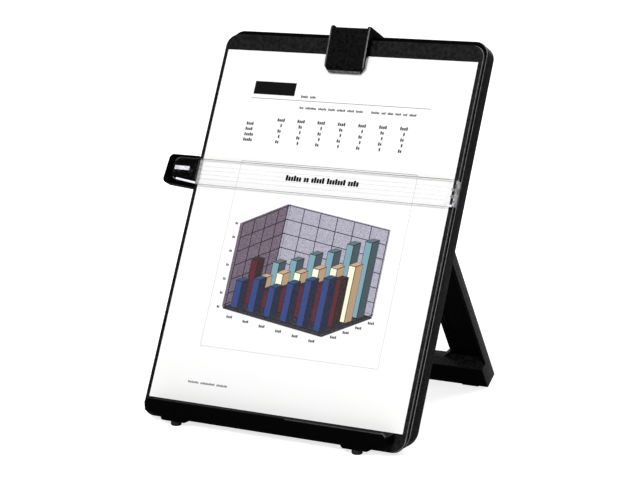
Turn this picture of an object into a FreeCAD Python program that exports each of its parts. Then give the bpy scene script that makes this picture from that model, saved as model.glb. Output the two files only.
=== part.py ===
import FreeCAD, Part
import math
import os

# Copy holder with a line guide. Millimetres, +Z up, the reader sits at -Y.
# Board pieces are drawn in board space: X across, Y back from the sheet, Z up along the board,
# with Z = 0 where a sheet stands. Leg pieces are drawn hanging down from the hinge axis.

# Stance on the desk
BOARD_TILT = 24.8
LEG_SPREAD = 58.7
REST_HEIGHT = 16.0
BODY_GAP = 0.35
PIN_PLAY = 0.05
THREAD_PLAY = 0.03
OVERRUN = 1.0
TILT = math.radians(BOARD_TILT)
LEAN = math.radians(LEG_SPREAD - BOARD_TILT)

# Sheet
SHEET_HALF = 107.95
SHEET_HEIGHT = 279.4
SHEET_THICK = 0.25
SHEET_OFF = 0.05
SHEET_FRONT = -(SHEET_OFF + SHEET_THICK)

# Front panel
PANEL_SIDE_MARGIN = 3.45
PANEL_TOP_MARGIN = 13.1
PANEL_DROP = 14.0
PANEL_THICK = 2.0
PANEL_CORNER = 10.0
PANEL_EDGE = 0.5
PANEL_HALF = SHEET_HALF + PANEL_SIDE_MARGIN
PANEL_TOP = SHEET_HEIGHT + PANEL_TOP_MARGIN
PANEL_BOTTOM = -PANEL_DROP

# Rear housing, behind the groove that the guide runs in
GROOVE_DEPTH = 3.5
HOUSING_DEPTH = 12.3
HOUSING_RISE = 5.0
HOUSING_CORNER = 11.0
HOUSING_SKIN = 2.0
HOUSING_WALL = 2.5
HOUSING_EDGE = 0.8
HOUSING_DESK_GAP = 2.5
RIB_THICK = 1.6
RIB_DEPTH = 5.5
SIDE_RIB_SHARES = (0.25, 0.5, 0.75)
TOP_RIB_SHARES = (0.24, 0.5)
HOUSING_FRONT = PANEL_THICK + GROOVE_DEPTH
HOUSING_BACK = HOUSING_FRONT + HOUSING_DEPTH
HOUSING_TOP = PANEL_TOP + HOUSING_RISE
HOUSING_INNER = PANEL_HALF - HOUSING_WALL
SKIN_BACK = HOUSING_FRONT + HOUSING_SKIN

# Leg hinge
HINGE_DROP = 108.5
HINGE_PROUD = 1.2
HINGE_RADIUS = 5.0
HINGE_PIN_RADIUS = 2.0
HINGE_PIN_PROUD = 0.4
HINGE_PIN_BEVEL = 0.4
LUG_THICK = 4.0
LUG_TAIL = 9.0
LUG_HALF_DEPTH = 4.0
LUG_ROUND = 1.2
EAR_THICK = 7.2
BRACKET_HALF_HEIGHT = 17.0
BRACKET_THICK = 2.0
BRACKET_SCREW_END = 4.0
BRACKET_HEAD_RADIUS = 2.4
BRACKET_GAP = 2.0
WING_BELOW = 3.0
WING_ABOVE = 6.0
HINGE_Y = HOUSING_BACK + HINGE_PROUD
HINGE_Z = HOUSING_TOP - HINGE_DROP

# Leg
LEG_INSET = 31.4
LEG_BACK = 4.0
LEG_FLANGE_DEPTH = 8.0
LEG_FLANGE = 2.2
LEG_SKIN = 2.0
LEG_HEAD_GAP = 12.0
LEG_HEAD = 78.0
LEG_BAR_DEPTH = 15.0
LEG_BAR_HEIGHT = 20.0
LEG_WINDOW_SIDE = 30.0
LEG_WINDOW_BEVEL = 8.0
LEG_RIM_DEPTH = 6.0
LEG_RIM_THICK = 1.8
LEG_RIB_DEPTH = 3.0
LEG_RIB_SHARES = (0.0, 0.64)
LEG_CROSS_RIB_SHARES = (0.33, 0.67)
LEG_BAR_RIB_SHARES = (-1.0, 0.0, 1.0)
LEG_FOOT_PROUD = 0.9
LEG_FOOT_INSET = 16.0
LEG_FOOT_HALF = 7.0
LEG_FOOT_DEPTH = 5.5
LEG_FOOT_STEM_HALF = 5.0
LEG_FOOT_STEM_HEIGHT = 5.0
LEG_FOOT_STEM_INSET = 0.25
LEG_FOOT_STEM_DEPTH = 2.2
LEG_HALF = PANEL_HALF - LEG_INSET
LEG_WINDOW_HALF = LEG_HALF - LEG_WINDOW_SIDE
LEG_TOP = -LEG_HEAD_GAP
LEG_WINDOW_TOP = -LEG_HEAD
LUG_OUT = (LEG_HALF - LUG_THICK, LEG_HALF)
EAR_MIDDLE = LEG_HALF - LUG_THICK - BODY_GAP - EAR_THICK / 2
LUG_IN = (EAR_MIDDLE - EAR_THICK / 2 - BODY_GAP - LUG_THICK, EAR_MIDDLE - EAR_THICK / 2 - BODY_GAP)
EAR_RANGE = (EAR_MIDDLE - EAR_THICK / 2, EAR_MIDDLE + EAR_THICK / 2)

# Guard rib that keeps the leg's bay clear of the housing screws
GUARD_GAP = 3.5
GUARD_HALF = LEG_HALF + GUARD_GAP
GUARD_TOP = HINGE_Z + BRACKET_HALF_HEIGHT + BRACKET_GAP

# Housing screws, in the strip between the guard rib and the side wall
SCREW_LOW_INSET = 20.5
SCREW_TOP_INSET = 30.5
SCREW_RADIUS = 1.5
SCREW_HEAD_RADIUS = 2.8
SCREW_HEAD_DEPTH = 1.8
SCREW_TIP_COVER = 0.7
SCREW_RECESS_RADIUS = 0.8
SCREW_RECESS_DEPTH = 0.9
BOSS_RADIUS = 3.6
BOSS_STEP = 1.5
BOSS_PLAY = 0.1
SCREW_HALF = (GUARD_HALF + RIB_THICK + HOUSING_INNER) / 2
SCREW_SEAT = SKIN_BACK + BOSS_STEP
SCREW_LENGTH = SCREW_SEAT - SCREW_TIP_COVER

# Spacer frame between the panel and the housing
GROOVE_REACH = 6.0
SPACER_LIFT = 1.5
SPACER_WEB = 3.7
SPACER_RIB = 12.0
SPACER_CORNER = 4.0
SPACER_RIB_SHARES = (0.29, 0.6)
SPACER_HALF = PANEL_HALF - GROOVE_REACH
SPACER_TOP = PANEL_TOP - GROOVE_REACH
SPACER_OPEN = SCREW_HALF - BOSS_RADIUS - SPACER_WEB
SPACER_WIDTH = SPACER_HALF - SPACER_OPEN
SCREW_LOW = SPACER_LIFT + SCREW_LOW_INSET
SCREW_TOP = SPACER_TOP - SCREW_TOP_INSET
SCREW_HEIGHTS = (SCREW_LOW, (SCREW_LOW + SCREW_TOP) / 2, SCREW_TOP)
SCREW_SPOTS = [(side * SCREW_HALF, z) for side in (-1, 1) for z in SCREW_HEIGHTS]

# Ledge, drawn level: Y and height from the line where the sheet stands
LEDGE_INSET = 9.4
LEDGE_DEPTH = 16.0
LEDGE_FRONT_LEAN = 1.0
LEDGE_RIM = 3.2
LEDGE_RIM_THICK = 2.2
LEDGE_RIM_SLOPE = 0.4
LEDGE_RIM_BEVEL = 0.6
LEDGE_DROP = 8.5
LEDGE_WALL = 2.0
LEDGE_CORNER = 4.0
LEDGE_END_RUN = 12.0
LEDGE_END_RISE = 2.0
LEDGE_RIB_COUNT = 5
LEDGE_SCREW_SHARES = (-0.49, 0.0, 0.49)
LEDGE_SCREW_DROP = 6.0
LEDGE_SCREW_RADIUS = 1.25
LEDGE_SCREW_DEPTH = 4.2
LEDGE_HEAD_RADIUS = 2.2
LEDGE_HEAD_DEPTH = 1.6
LEDGE_BOSS_RADIUS = 2.4
LEDGE_BOSS_DEPTH = 4.8
LEDGE_HALF = PANEL_HALF - LEDGE_INSET
LEDGE_FRONT = -LEDGE_DEPTH
LEDGE_BOTTOM = -LEDGE_DROP

# Pads and feet under the ledge
PAD_HALF = 13.0
PAD_SLOPE = 3.2
PAD_DEPTH = 3.8
PAD_STRAIGHT = 2.0
PAD_FRONT_INSET = 1.4
PAD_ROUND_SHARE = 0.45
FOOT_RADIUS = 4.05
FOOT_BEVEL = 0.6
FOOT_STEM_RADIUS = 1.4
FOOT_STEM_HEIGHT = 2.4
PAD_CENTRE = LEDGE_HALF - LEDGE_END_RUN - PAD_HALF
PAD_BOTTOM = LEDGE_BOTTOM - PAD_DEPTH
PAD_FRONT = LEDGE_FRONT + PAD_FRONT_INSET
PAD_BACK = PAD_BOTTOM * math.tan(TILT) - BODY_GAP
FOOT_Y = (PAD_FRONT + PAD_BACK) / 2

# Clip bracket, pin and spring
CLIP_HALF = 17.0
CLIP_CHEEK = 2.4
CHEEK_PLAY = 0.4
CLIP_AXIS_STANDOFF = 4.5
CLIP_AXIS_DROP = 6.5
CLIP_PIN_RADIUS = 1.5
CLIP_EAR_RADIUS = 3.3
CLIP_EAR_THICK = 3.2
CLIP_BASE_DROP = 6.0
CLIP_BASE_HEIGHT = 19.0
CLIP_BASE_THICK = 2.0
CLIP_SCREW_RISE = 6.0
CLIP_SCREW_GAP = 1.1
CLIP_SIDE_GAP = 1.0
CLIP_NOTCH_REACH = 3.0
COIL_WIRE = 0.45
COIL_RADIUS = 2.7
COIL_PITCH = 1.1
COIL_TURNS = 7
COIL_LEG = 9.0
COIL_LEG_SHORT = 1.6
CLIP_AXIS_Y = SKIN_BACK + CLIP_AXIS_STANDOFF
CLIP_AXIS_Z = HOUSING_TOP - CLIP_AXIS_DROP
CLIP_EAR_OUT = CLIP_HALF - CLIP_CHEEK - CHEEK_PLAY
CLIP_EAR_IN = CLIP_EAR_OUT - CLIP_EAR_THICK
CLIP_BASE_TOP = CLIP_AXIS_Z - CLIP_BASE_DROP
CLIP_BASE_BOTTOM = CLIP_BASE_TOP - CLIP_BASE_HEIGHT
CLIP_SCREW_HALF = CLIP_EAR_IN - BRACKET_HEAD_RADIUS - CLIP_SCREW_GAP
CLIP_SCREW_HEIGHT = CLIP_BASE_BOTTOM + CLIP_SCREW_RISE
CLIP_NOTCH_HALF = CLIP_HALF + CLIP_SIDE_GAP
CLIP_NOTCH_BOTTOM = CLIP_AXIS_Z - CLIP_NOTCH_REACH
CLIP_NOTCH_SKIN = CLIP_AXIS_Z + CLIP_NOTCH_REACH

# Clip lever: corners of its side view, in board space
CLIP_CHEEK_RADIUS = 4.0
CLIP_FACE_OUT = 7.5
CLIP_FACE_RISE = 1.9
CLIP_FACE_HEIGHT = 36.6
CLIP_CREST_RISE = 3.5
CLIP_CREST_INSET = 0.9
CLIP_CREST_BACK_RISE = 3.7
CLIP_CREST_BACK_INSET = 0.1
CLIP_CAP_DROP = 1.4
CLIP_SHELL = 2.0
CLIP_KNEE_OUT = 5.5
CLIP_KNEE_RISE = 7.6
CLIP_KNEE_ROUND = 26.0
CLIP_CURL_OUT = 4.4
CLIP_CURL_RISE = 2.6
CLIP_CURL_ROUND = 6.0
CLIP_TIP_OUT = 2.4
CLIP_TIP_WIDTH = 1.6
CLIP_CHEEK_SHARE = 0.12
CLIP_CHEEK_FOOT_RISE = 14.6
CLIP_CHEEK_STANDOFF = 0.9
CLIP_NECK_GAP = 1.2
CLIP_TIP_BEVEL = 3.6
CLIP_TIP_BEVEL_HEIGHT = 4.6
CLIP_TAB_INSET = 3.5
CLIP_TAB_LAP = 0.7
CLIP_TAB_STEP = 0.4
CLIP_TAB_SHOULDER = 3.1
CLIP_TAB_REACH = 8.1
CLIP_TAB_LENGTH = 22.0
CLIP_TAB_THICK = 1.8
CLIP_GRIP_COUNT = 4
CLIP_GRIP_STEP = 2.4
CLIP_GRIP_RADIUS = 0.6
CLIP_GRIP_START_SHARE = 0.3
GRIP_PAD_HALF = 11.0
GRIP_PAD_HEIGHT = 3.2
GRIP_PAD_THICK = 1.1
GRIP_PAD_FRONT_GAP = 0.35
CLIP_TIP_Z = HOUSING_TOP + CLIP_CREST_RISE - CLIP_FACE_HEIGHT
CLIP_FRONT_TOP = (-CLIP_FACE_OUT, HOUSING_TOP + CLIP_FACE_RISE)
CLIP_CREST = (-CLIP_FACE_OUT + CLIP_CREST_INSET, HOUSING_TOP + CLIP_CREST_RISE)
CLIP_CREST_BACK = (HOUSING_BACK - CLIP_CREST_BACK_INSET, HOUSING_TOP + CLIP_CREST_BACK_RISE)
CLIP_KNEE = (-CLIP_KNEE_OUT, CLIP_TIP_Z + CLIP_KNEE_RISE)
CLIP_CURL = (-CLIP_CURL_OUT, CLIP_TIP_Z + CLIP_CURL_RISE)
CLIP_TIP = (-CLIP_TIP_OUT, CLIP_TIP_Z)
CLIP_TIP_IN = (-CLIP_TIP_OUT + CLIP_TIP_WIDTH, CLIP_TIP_Z + CLIP_TIP_WIDTH / 2)
CLIP_CURL_IN = (-CLIP_CURL_OUT + CLIP_SHELL, CLIP_CURL[1] + CLIP_SHELL / 2)
CLIP_KNEE_IN = (-CLIP_KNEE_OUT + CLIP_SHELL, CLIP_KNEE[1])
CLIP_CHEEK_FOOT = (-CLIP_CHEEK_STANDOFF, CLIP_TIP_Z + CLIP_CHEEK_FOOT_RISE)
CLIP_NECK = CLIP_NOTCH_SKIN + CLIP_NECK_GAP
CLIP_TAB_HALF = CLIP_HALF - CLIP_TAB_INSET

# Line guide
GUIDE_DROP = 114.5
BAR_HALF_HEIGHT = 10.2
BAR_THICK = 2.4
BAR_GAP = 0.9
BAR_OVERHANG = 20.2
BAR_CORNER = 5.0
BAR_TAPER = 3.0
BAR_RIDGE = 0.5
BAR_RIDGE_HEIGHT = 1.4
BAR_LINE_DEPTH = 0.25
BAR_LINE_HEIGHT = 0.35
BAR_LINE_COUNT = 4
BAR_LINE_STEP = 3.4
SLIDER_OVERHANG = 29.2
SLIDER_LEAN = 2.0
SLIDER_TAPER = 2.4
SLIDER_HALF_HEIGHT = 12.9
SLIDER_BACK = 7.0
SLIDER_CORNER = 4.0
SLIDER_EDGE = 1.0
SLIDER_RECESS = 1.5
SLIDER_RECESS_HALF = 5.6
SHOE_ROOT = 6.0
SHOE_END_GAP = 1.5
SHOE_HALF_HEIGHT = 9.0
SHOE_BEVEL = 0.8
LEAF_THICK = 0.3
LEAF_HALF_HEIGHT = 7.5
LEAF_BOW = 0.75
LEAF_GAP = 0.05
STUD_RADIUS = 1.5
STUD_DEPTH = 1.3
STUD_OFFSET = 5.0
HOOK_WALL = 1.2
HOOK_LAP = 6.5
HOOK_LAP_THICK = 1.2
HOOK_HALF_HEIGHT = 9.6
HOOK_EDGE = 0.4
RIVET_RADIUS = 0.8
RIVET_HEAD_RADIUS = 1.2
RIVET_HEAD_DEPTH = 0.3
RIVET_INSET = 1.7
RIVET_OFFSET = 2.6
LABEL_INSET = 1.6
LABEL_WIDTH = 13.5
LABEL_HALF_HEIGHT = 1.6
LABEL_THICK = 0.3
LABEL_RISE = 1.6
GUIDE_CENTRE = PANEL_TOP - GUIDE_DROP
GUIDE_LOW = GUIDE_CENTRE - BAR_HALF_HEIGHT
GUIDE_HIGH = GUIDE_CENTRE + BAR_HALF_HEIGHT
BAR_BACK = SHEET_FRONT - BAR_GAP
BAR_FRONT = BAR_BACK - BAR_THICK
BAR_LEFT = -(PANEL_HALF + BAR_OVERHANG)
SLIDER_LEFT = -(PANEL_HALF + SLIDER_OVERHANG)
SLIDER_RIGHT = -(PANEL_HALF + BODY_GAP)
SHOE_REACH = GROOVE_REACH - SHOE_END_GAP
SHOE_FRONT = PANEL_THICK + BODY_GAP
SHOE_REAR = HOUSING_FRONT - BODY_GAP
STUD_X = BAR_LEFT + BAR_OVERHANG / 2
HOOK_IN = PANEL_HALF + BODY_GAP
HOOK_OUT = HOOK_IN + HOOK_WALL
LAP_START = HOOK_IN - HOOK_LAP
LAP_SPLIT = BAR_BACK - HOOK_LAP_THICK


def vector(x, y, z):
    return FreeCAD.Vector(x, y, z)


def block(x_range, y_range, z_range):
    """Box between three pairs of limits."""
    sizes = [high - low for low, high in (x_range, y_range, z_range)]
    return Part.makeBox(*sizes, vector(x_range[0], y_range[0], z_range[0]))


def prism(outline, x_range):
    """Outline of (y, z) corners carried along X."""
    corners = [vector(x_range[0], y, z) for y, z in outline]
    face = Part.Face(Part.makePolygon(corners + corners[:1]))
    return face.extrude(vector(x_range[1] - x_range[0], 0, 0))


def upright_prism(outline, y_range):
    """Outline of (x, z) corners carried along Y."""
    corners = [vector(x, y_range[0], z) for x, z in outline]
    face = Part.Face(Part.makePolygon(corners + corners[:1]))
    return face.extrude(vector(0, y_range[1] - y_range[0], 0))


def rod(radius, start, end):
    """Round bar between two points."""
    axis = vector(*end) - vector(*start)
    return Part.makeCylinder(radius, axis.Length, vector(*start), axis)


def fuse(shapes):
    return shapes[0].multiFuse(shapes[1:]).removeSplitter()


def cut(shape, tools):
    return shape.cut(Part.makeCompound(tools))


def mirrored(shape):
    return shape.mirror(vector(0, 0, 0), vector(1, 0, 0))


def both_sides(shape):
    return [shape, mirrored(shape)]


def edge_runs_along(edge, axis):
    start, end = edge.Vertexes[0].Point, edge.Vertexes[-1].Point
    run = end - start
    return run.Length > 0 and abs(abs(run.normalize().dot(axis)) - 1) < 1e-6


def round_edges(shape, radius, wanted):
    """Fillet the edges for which wanted(edge) is true."""
    return shape.makeFillet(radius, [edge for edge in shape.Edges if wanted(edge)])


def rounded_slab(x_range, y_range, z_range, radius):
    """Slab facing -Y with four rounded corners."""
    slab = block(x_range, y_range, z_range)
    return round_edges(slab, radius, lambda edge: edge_runs_along(edge, vector(0, 1, 0)))


def at_depth(edge, y):
    """True for an edge that lies wholly at one depth."""
    box = edge.BoundBox
    return abs(box.YMin - y) < 1e-4 and abs(box.YMax - y) < 1e-4


def at_height(edge, z):
    """True for an edge that lies wholly at one height."""
    box = edge.BoundBox
    return abs(box.ZMin - z) < 1e-4 and abs(box.ZMax - z) < 1e-4


def at_corner(edge, corner):
    """True for an edge that lies at one (y, z) corner of a side view."""
    return at_depth(edge, corner[0]) and at_height(edge, corner[1])


def centred(middle, width):
    return (middle - width / 2, middle + width / 2)


def between(low, high, share):
    """Value a share of the way from one value to another."""
    return low + share * (high - low)


def on_board(shape):
    """Lean a piece drawn in board space back and lift it to its height."""
    placed = shape.copy()
    placed.rotate(vector(0, 0, 0), vector(1, 0, 0), -BOARD_TILT)
    placed.translate(vector(0, 0, REST_HEIGHT))
    return placed


def level(shape):
    """Lift a piece drawn level with the sheet's standing line."""
    placed = shape.copy()
    placed.translate(vector(0, 0, REST_HEIGHT))
    return placed


def on_leg(shape):
    """Swing a piece drawn below the hinge axis out and hang it from the board."""
    placed = shape.copy()
    placed.rotate(vector(0, 0, 0), vector(1, 0, 0), LEG_SPREAD)
    placed.translate(vector(0, HINGE_Y, HINGE_Z))
    return on_board(placed)


def height_in_world(y, z):
    """World height of a point given in board space."""
    return REST_HEIGHT + z * math.cos(TILT) - y * math.sin(TILT)


def leg_length():
    """Length from the hinge axis to the edge that meets the desk."""
    corner = LEG_BAR_DEPTH - LEG_BACK
    drop = height_in_world(HINGE_Y, HINGE_Z) - corner * math.sin(LEAN)
    return drop / math.cos(LEAN)


def below_line(distance):
    """Board-space block under a level plane at a distance over the desk."""
    reach = 2 * PANEL_HALF
    lump = block((-reach, reach), (-reach, reach), (-reach, distance))
    lump.translate(vector(0, 0, -REST_HEIGHT))
    lump.rotate(vector(0, 0, 0), vector(1, 0, 0), BOARD_TILT)
    return lump


def screw(x, z, head_y, length, radius, head_radius, head_depth):
    """Pan-head screw driven towards -Y, its head resting at head_y."""
    shank = rod(radius, (x, head_y, z), (x, head_y - length, z))
    head = rod(head_radius, (x, head_y, z), (x, head_y + head_depth, z))
    head = round_edges(head, head_depth / 2, lambda edge: at_depth(edge, head_y + head_depth))
    top = head_y + head_depth
    slots = []
    for turn in (0, 90):
        slot = block(
            centred(0, head_radius),
            (top - SCREW_RECESS_DEPTH, top + OVERRUN),
            centred(0, SCREW_RECESS_RADIUS),
        )
        slot.rotate(vector(0, 0, 0), vector(0, 1, 0), turn)
        slot.translate(vector(x, 0, z))
        slots.append(slot)
    return cut(fuse([shank, head]), slots)


def front_panel():
    panel = rounded_slab(
        (-PANEL_HALF, PANEL_HALF), (0, PANEL_THICK), (PANEL_BOTTOM, PANEL_TOP), PANEL_CORNER
    )
    panel = round_edges(panel, PANEL_EDGE, lambda edge: at_depth(edge, 0))
    bosses = []
    holes = []
    for x, z in SCREW_SPOTS:
        bosses.append(rod(BOSS_RADIUS, (x, PANEL_THICK, z), (x, HOUSING_FRONT, z)))
        hole_end = HOUSING_FRONT + OVERRUN
        holes.append(rod(SCREW_RADIUS + THREAD_PLAY, (x, SCREW_TIP_COVER, z), (x, hole_end, z)))
    hole_radius = LEDGE_SCREW_RADIUS + THREAD_PLAY
    for x, z in ledge_screw_spots():
        holes.append(rod(hole_radius, (x, -OVERRUN, z), (x, PANEL_THICK + OVERRUN, z)))
    return on_board(cut(fuse([panel] + bosses), holes))


def spacer_frame():
    depth = (PANEL_THICK, HOUSING_FRONT)
    across = (-SPACER_OPEN, SPACER_OPEN)
    outer = rounded_slab(
        (-SPACER_HALF, SPACER_HALF), depth, (SPACER_LIFT, SPACER_TOP), SPACER_CORNER
    )
    opening = block(across, depth, (SPACER_LIFT + SPACER_WIDTH, SPACER_TOP - SPACER_WIDTH))
    ribs = []
    for share in SPACER_RIB_SHARES:
        z = between(SPACER_LIFT, SPACER_TOP, share)
        ribs.append(block(across, depth, (z, z + SPACER_RIB)))
    frame = fuse([outer.cut(opening)] + ribs)
    hole_radius = BOSS_RADIUS + BOSS_PLAY
    holes = [rod(hole_radius, (x, depth[0], z), (x, depth[1], z)) for x, z in SCREW_SPOTS]
    return on_board(cut(frame, holes))


def tray(half, y_range, top, desk_gap, corner):
    """Slab with round upper corners, cut level over the desk, with round lower corners."""
    slab = rounded_slab((-half, half), y_range, (PANEL_BOTTOM - corner, top), corner)
    slab = slab.cut(below_line(desk_gap))
    level_run = vector(0, math.cos(TILT), math.sin(TILT))
    return round_edges(
        slab,
        corner,
        lambda edge: edge_runs_along(edge, level_run) and edge.BoundBox.ZMax < corner,
    )


def rear_housing():
    depth = (HOUSING_FRONT, HOUSING_BACK)
    shell = tray(PANEL_HALF, depth, HOUSING_TOP, HOUSING_DESK_GAP, HOUSING_CORNER)
    shell = round_edges(shell, HOUSING_EDGE, lambda edge: at_depth(edge, HOUSING_FRONT))
    hollow = tray(
        HOUSING_INNER,
        (SKIN_BACK, HOUSING_BACK + OVERRUN),
        HOUSING_TOP - HOUSING_WALL,
        HOUSING_DESK_GAP + HOUSING_WALL,
        HOUSING_CORNER - HOUSING_WALL,
    )
    shell = shell.cut(hollow)

    rib_depth = (SKIN_BACK, SKIN_BACK + RIB_DEPTH)
    ribs = []
    for low, high in zip(SCREW_HEIGHTS, SCREW_HEIGHTS[1:]):
        for share in SIDE_RIB_SHARES:
            z = between(low, high, share)
            ribs += both_sides(block((GUARD_HALF, HOUSING_INNER), rib_depth, (z, z + RIB_THICK)))
    guard = (GUARD_HALF, GUARD_HALF + RIB_THICK)
    ribs += both_sides(block(guard, rib_depth, (0, GUARD_TOP)))
    cross_heights = (GUARD_TOP, (GUARD_TOP + CLIP_BASE_BOTTOM) / 2)
    uprights = [share * HOUSING_INNER for share in TOP_RIB_SHARES]
    for half, z in zip((HOUSING_INNER, uprights[-1]), cross_heights):
        ribs.append(block((-half, half), rib_depth, (z, z + RIB_THICK)))
    for x in uprights:
        height = (GUARD_TOP, HOUSING_TOP - HOUSING_WALL)
        ribs += both_sides(block((x - RIB_THICK, x), rib_depth, height))
    bosses = [rod(BOSS_RADIUS, (x, SKIN_BACK, z), (x, SCREW_SEAT, z)) for x, z in SCREW_SPOTS]
    shell = fuse([shell] + ribs + bosses)

    openings = []
    for x, z in SCREW_SPOTS:
        start = (x, HOUSING_FRONT - OVERRUN, z)
        openings.append(rod(SCREW_RADIUS + THREAD_PLAY, start, (x, SCREW_SEAT + OVERRUN, z)))
    notch = (-CLIP_NOTCH_HALF, CLIP_NOTCH_HALF)
    notch_top = HOUSING_TOP + OVERRUN
    hollow_range = (SKIN_BACK, HOUSING_BACK + OVERRUN)
    openings.append(block(notch, hollow_range, (CLIP_NOTCH_BOTTOM, notch_top)))
    skin_range = (HOUSING_FRONT - OVERRUN, SKIN_BACK + OVERRUN)
    openings.append(block(notch, skin_range, (CLIP_NOTCH_SKIN, notch_top)))
    for x, z in bracket_screw_spots() + clip_screw_spots():
        start = (x, HOUSING_FRONT - OVERRUN, z)
        openings.append(rod(SCREW_RADIUS + THREAD_PLAY, start, (x, SKIN_BACK + OVERRUN, z)))
    return on_board(cut(shell, openings))


def housing_screws():
    screws = []
    for x, z in SCREW_SPOTS:
        screws.append(
            screw(x, z, SCREW_SEAT, SCREW_LENGTH, SCREW_RADIUS, SCREW_HEAD_RADIUS, SCREW_HEAD_DEPTH)
        )
    return on_board(Part.makeCompound(screws))


def panel_y(z):
    """Y of the panel's front face at a level height."""
    return z * math.tan(TILT)


def ledge_screw_spots():
    return [(share * LEDGE_HALF, -LEDGE_SCREW_DROP) for share in LEDGE_SCREW_SHARES]


def ledge_bosses(radius, depth):
    """Board-space round bars around the ledge screws, standing off the panel's face."""
    return [rod(radius, (x, 0, z), (x, -depth, z)) for x, z in ledge_screw_spots()]


def tilted(shape):
    """Turn a board-space piece without lifting it, to join pieces drawn level."""
    placed = shape.copy()
    placed.rotate(vector(0, 0, 0), vector(1, 0, 0), -BOARD_TILT)
    return placed


def ledge_end_view():
    """Slab that gives the ledge its round upper corners and rising lower ends."""
    low = LEDGE_BOTTOM - LEDGE_CORNER
    slab = rounded_slab(
        (-LEDGE_HALF, LEDGE_HALF), (LEDGE_FRONT - OVERRUN, OVERRUN), (low, LEDGE_RIM), LEDGE_CORNER
    )
    slope = LEDGE_END_RISE / LEDGE_END_RUN
    wedge = upright_prism(
        [
            (LEDGE_HALF - LEDGE_END_RUN, LEDGE_BOTTOM),
            (LEDGE_HALF + OVERRUN, LEDGE_BOTTOM + LEDGE_END_RISE + slope * OVERRUN),
            (LEDGE_HALF + OVERRUN, low - OVERRUN),
            (LEDGE_HALF - LEDGE_END_RUN, low - OVERRUN),
        ],
        (LEDGE_FRONT - OVERRUN, OVERRUN),
    )
    return cut(slab, both_sides(wedge))


def paper_ledge():
    front_low = LEDGE_FRONT + LEDGE_FRONT_LEAN
    rim_back = LEDGE_FRONT + LEDGE_RIM_THICK
    outline = [
        (0, 0),
        (rim_back + LEDGE_RIM_SLOPE, 0),
        (rim_back, LEDGE_RIM),
        (LEDGE_FRONT + LEDGE_RIM_BEVEL, LEDGE_RIM),
        (LEDGE_FRONT, LEDGE_RIM - LEDGE_RIM_BEVEL),
        (front_low, LEDGE_BOTTOM),
        (panel_y(LEDGE_BOTTOM), LEDGE_BOTTOM),
    ]
    ledge = prism(outline, (-LEDGE_HALF, LEDGE_HALF)).common(ledge_end_view())
    low = LEDGE_BOTTOM - OVERRUN
    hollow = prism(
        [
            (panel_y(-LEDGE_WALL) - LEDGE_WALL, -LEDGE_WALL),
            (LEDGE_FRONT + LEDGE_WALL + LEDGE_FRONT_LEAN / 2, -LEDGE_WALL),
            (front_low + LEDGE_WALL, low),
            (panel_y(low) - LEDGE_WALL, low),
        ],
        (-LEDGE_HALF + LEDGE_WALL, LEDGE_HALF - LEDGE_WALL),
    )
    rib_step = 2 * LEDGE_HALF / (LEDGE_RIB_COUNT + 1)
    keep = []
    for index in range(LEDGE_RIB_COUNT):
        x = -LEDGE_HALF + (index + 1) * rib_step
        keep.append(prism(outline, (x - RIB_THICK / 2, x + RIB_THICK / 2)))
    keep += [tilted(bar) for bar in ledge_bosses(LEDGE_BOSS_RADIUS, LEDGE_BOSS_DEPTH)]
    ledge = ledge.cut(cut(hollow, keep))
    screw_holes = ledge_bosses(LEDGE_SCREW_RADIUS + THREAD_PLAY, LEDGE_SCREW_DEPTH + THREAD_PLAY)
    return level(cut(ledge, [tilted(hole) for hole in screw_holes]))


def ledge_screws():
    screws = []
    for x, z in ledge_screw_spots():
        screws.append(
            screw(
                x,
                z,
                PANEL_THICK,
                PANEL_THICK + LEDGE_SCREW_DEPTH,
                LEDGE_SCREW_RADIUS,
                LEDGE_HEAD_RADIUS,
                LEDGE_HEAD_DEPTH,
            )
        )
    return on_board(Part.makeCompound(screws))


def ledge_pad(side):
    x = side * PAD_CENTRE
    shoulder = LEDGE_BOTTOM - PAD_STRAIGHT
    low_half = PAD_HALF - PAD_SLOPE
    depth = (PAD_FRONT, PAD_BACK)
    outline = [
        (x - PAD_HALF, LEDGE_BOTTOM),
        (x + PAD_HALF, LEDGE_BOTTOM),
        (x + PAD_HALF, shoulder),
        (x + low_half, PAD_BOTTOM),
        (x - low_half, PAD_BOTTOM),
        (x - PAD_HALF, shoulder),
    ]
    plan = block((x - PAD_HALF, x + PAD_HALF), depth, (PAD_BOTTOM, LEDGE_BOTTOM))
    plan = round_edges(
        plan,
        PAD_ROUND_SHARE * (PAD_BACK - PAD_FRONT),
        lambda edge: edge_runs_along(edge, vector(0, 0, 1)),
    )
    pad = upright_prism(outline, depth).common(plan)
    socket_top = PAD_BOTTOM + FOOT_STEM_HEIGHT + THREAD_PLAY
    socket = rod(FOOT_STEM_RADIUS + THREAD_PLAY, (x, FOOT_Y, PAD_BOTTOM), (x, FOOT_Y, socket_top))
    return level(pad.cut(socket))


def front_foot(side):
    x = side * PAD_CENTRE
    bottom = -REST_HEIGHT
    stem_top = PAD_BOTTOM + FOOT_STEM_HEIGHT
    foot = rod(FOOT_RADIUS, (x, FOOT_Y, bottom), (x, FOOT_Y, PAD_BOTTOM))
    foot = foot.makeChamfer(FOOT_BEVEL, [edge for edge in foot.Edges if at_height(edge, bottom)])
    stem = rod(FOOT_STEM_RADIUS, (x, FOOT_Y, PAD_BOTTOM), (x, FOOT_Y, stem_top))
    return level(fuse([foot, stem]))


def bracket_screw_spots():
    reach = BRACKET_HALF_HEIGHT - BRACKET_SCREW_END
    return [(side * EAR_MIDDLE, HINGE_Z + end * reach) for side in (-1, 1) for end in (-1, 1)]


def clip_screw_spots():
    return [(side * CLIP_SCREW_HALF, CLIP_SCREW_HEIGHT) for side in (-1, 1)]


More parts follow.
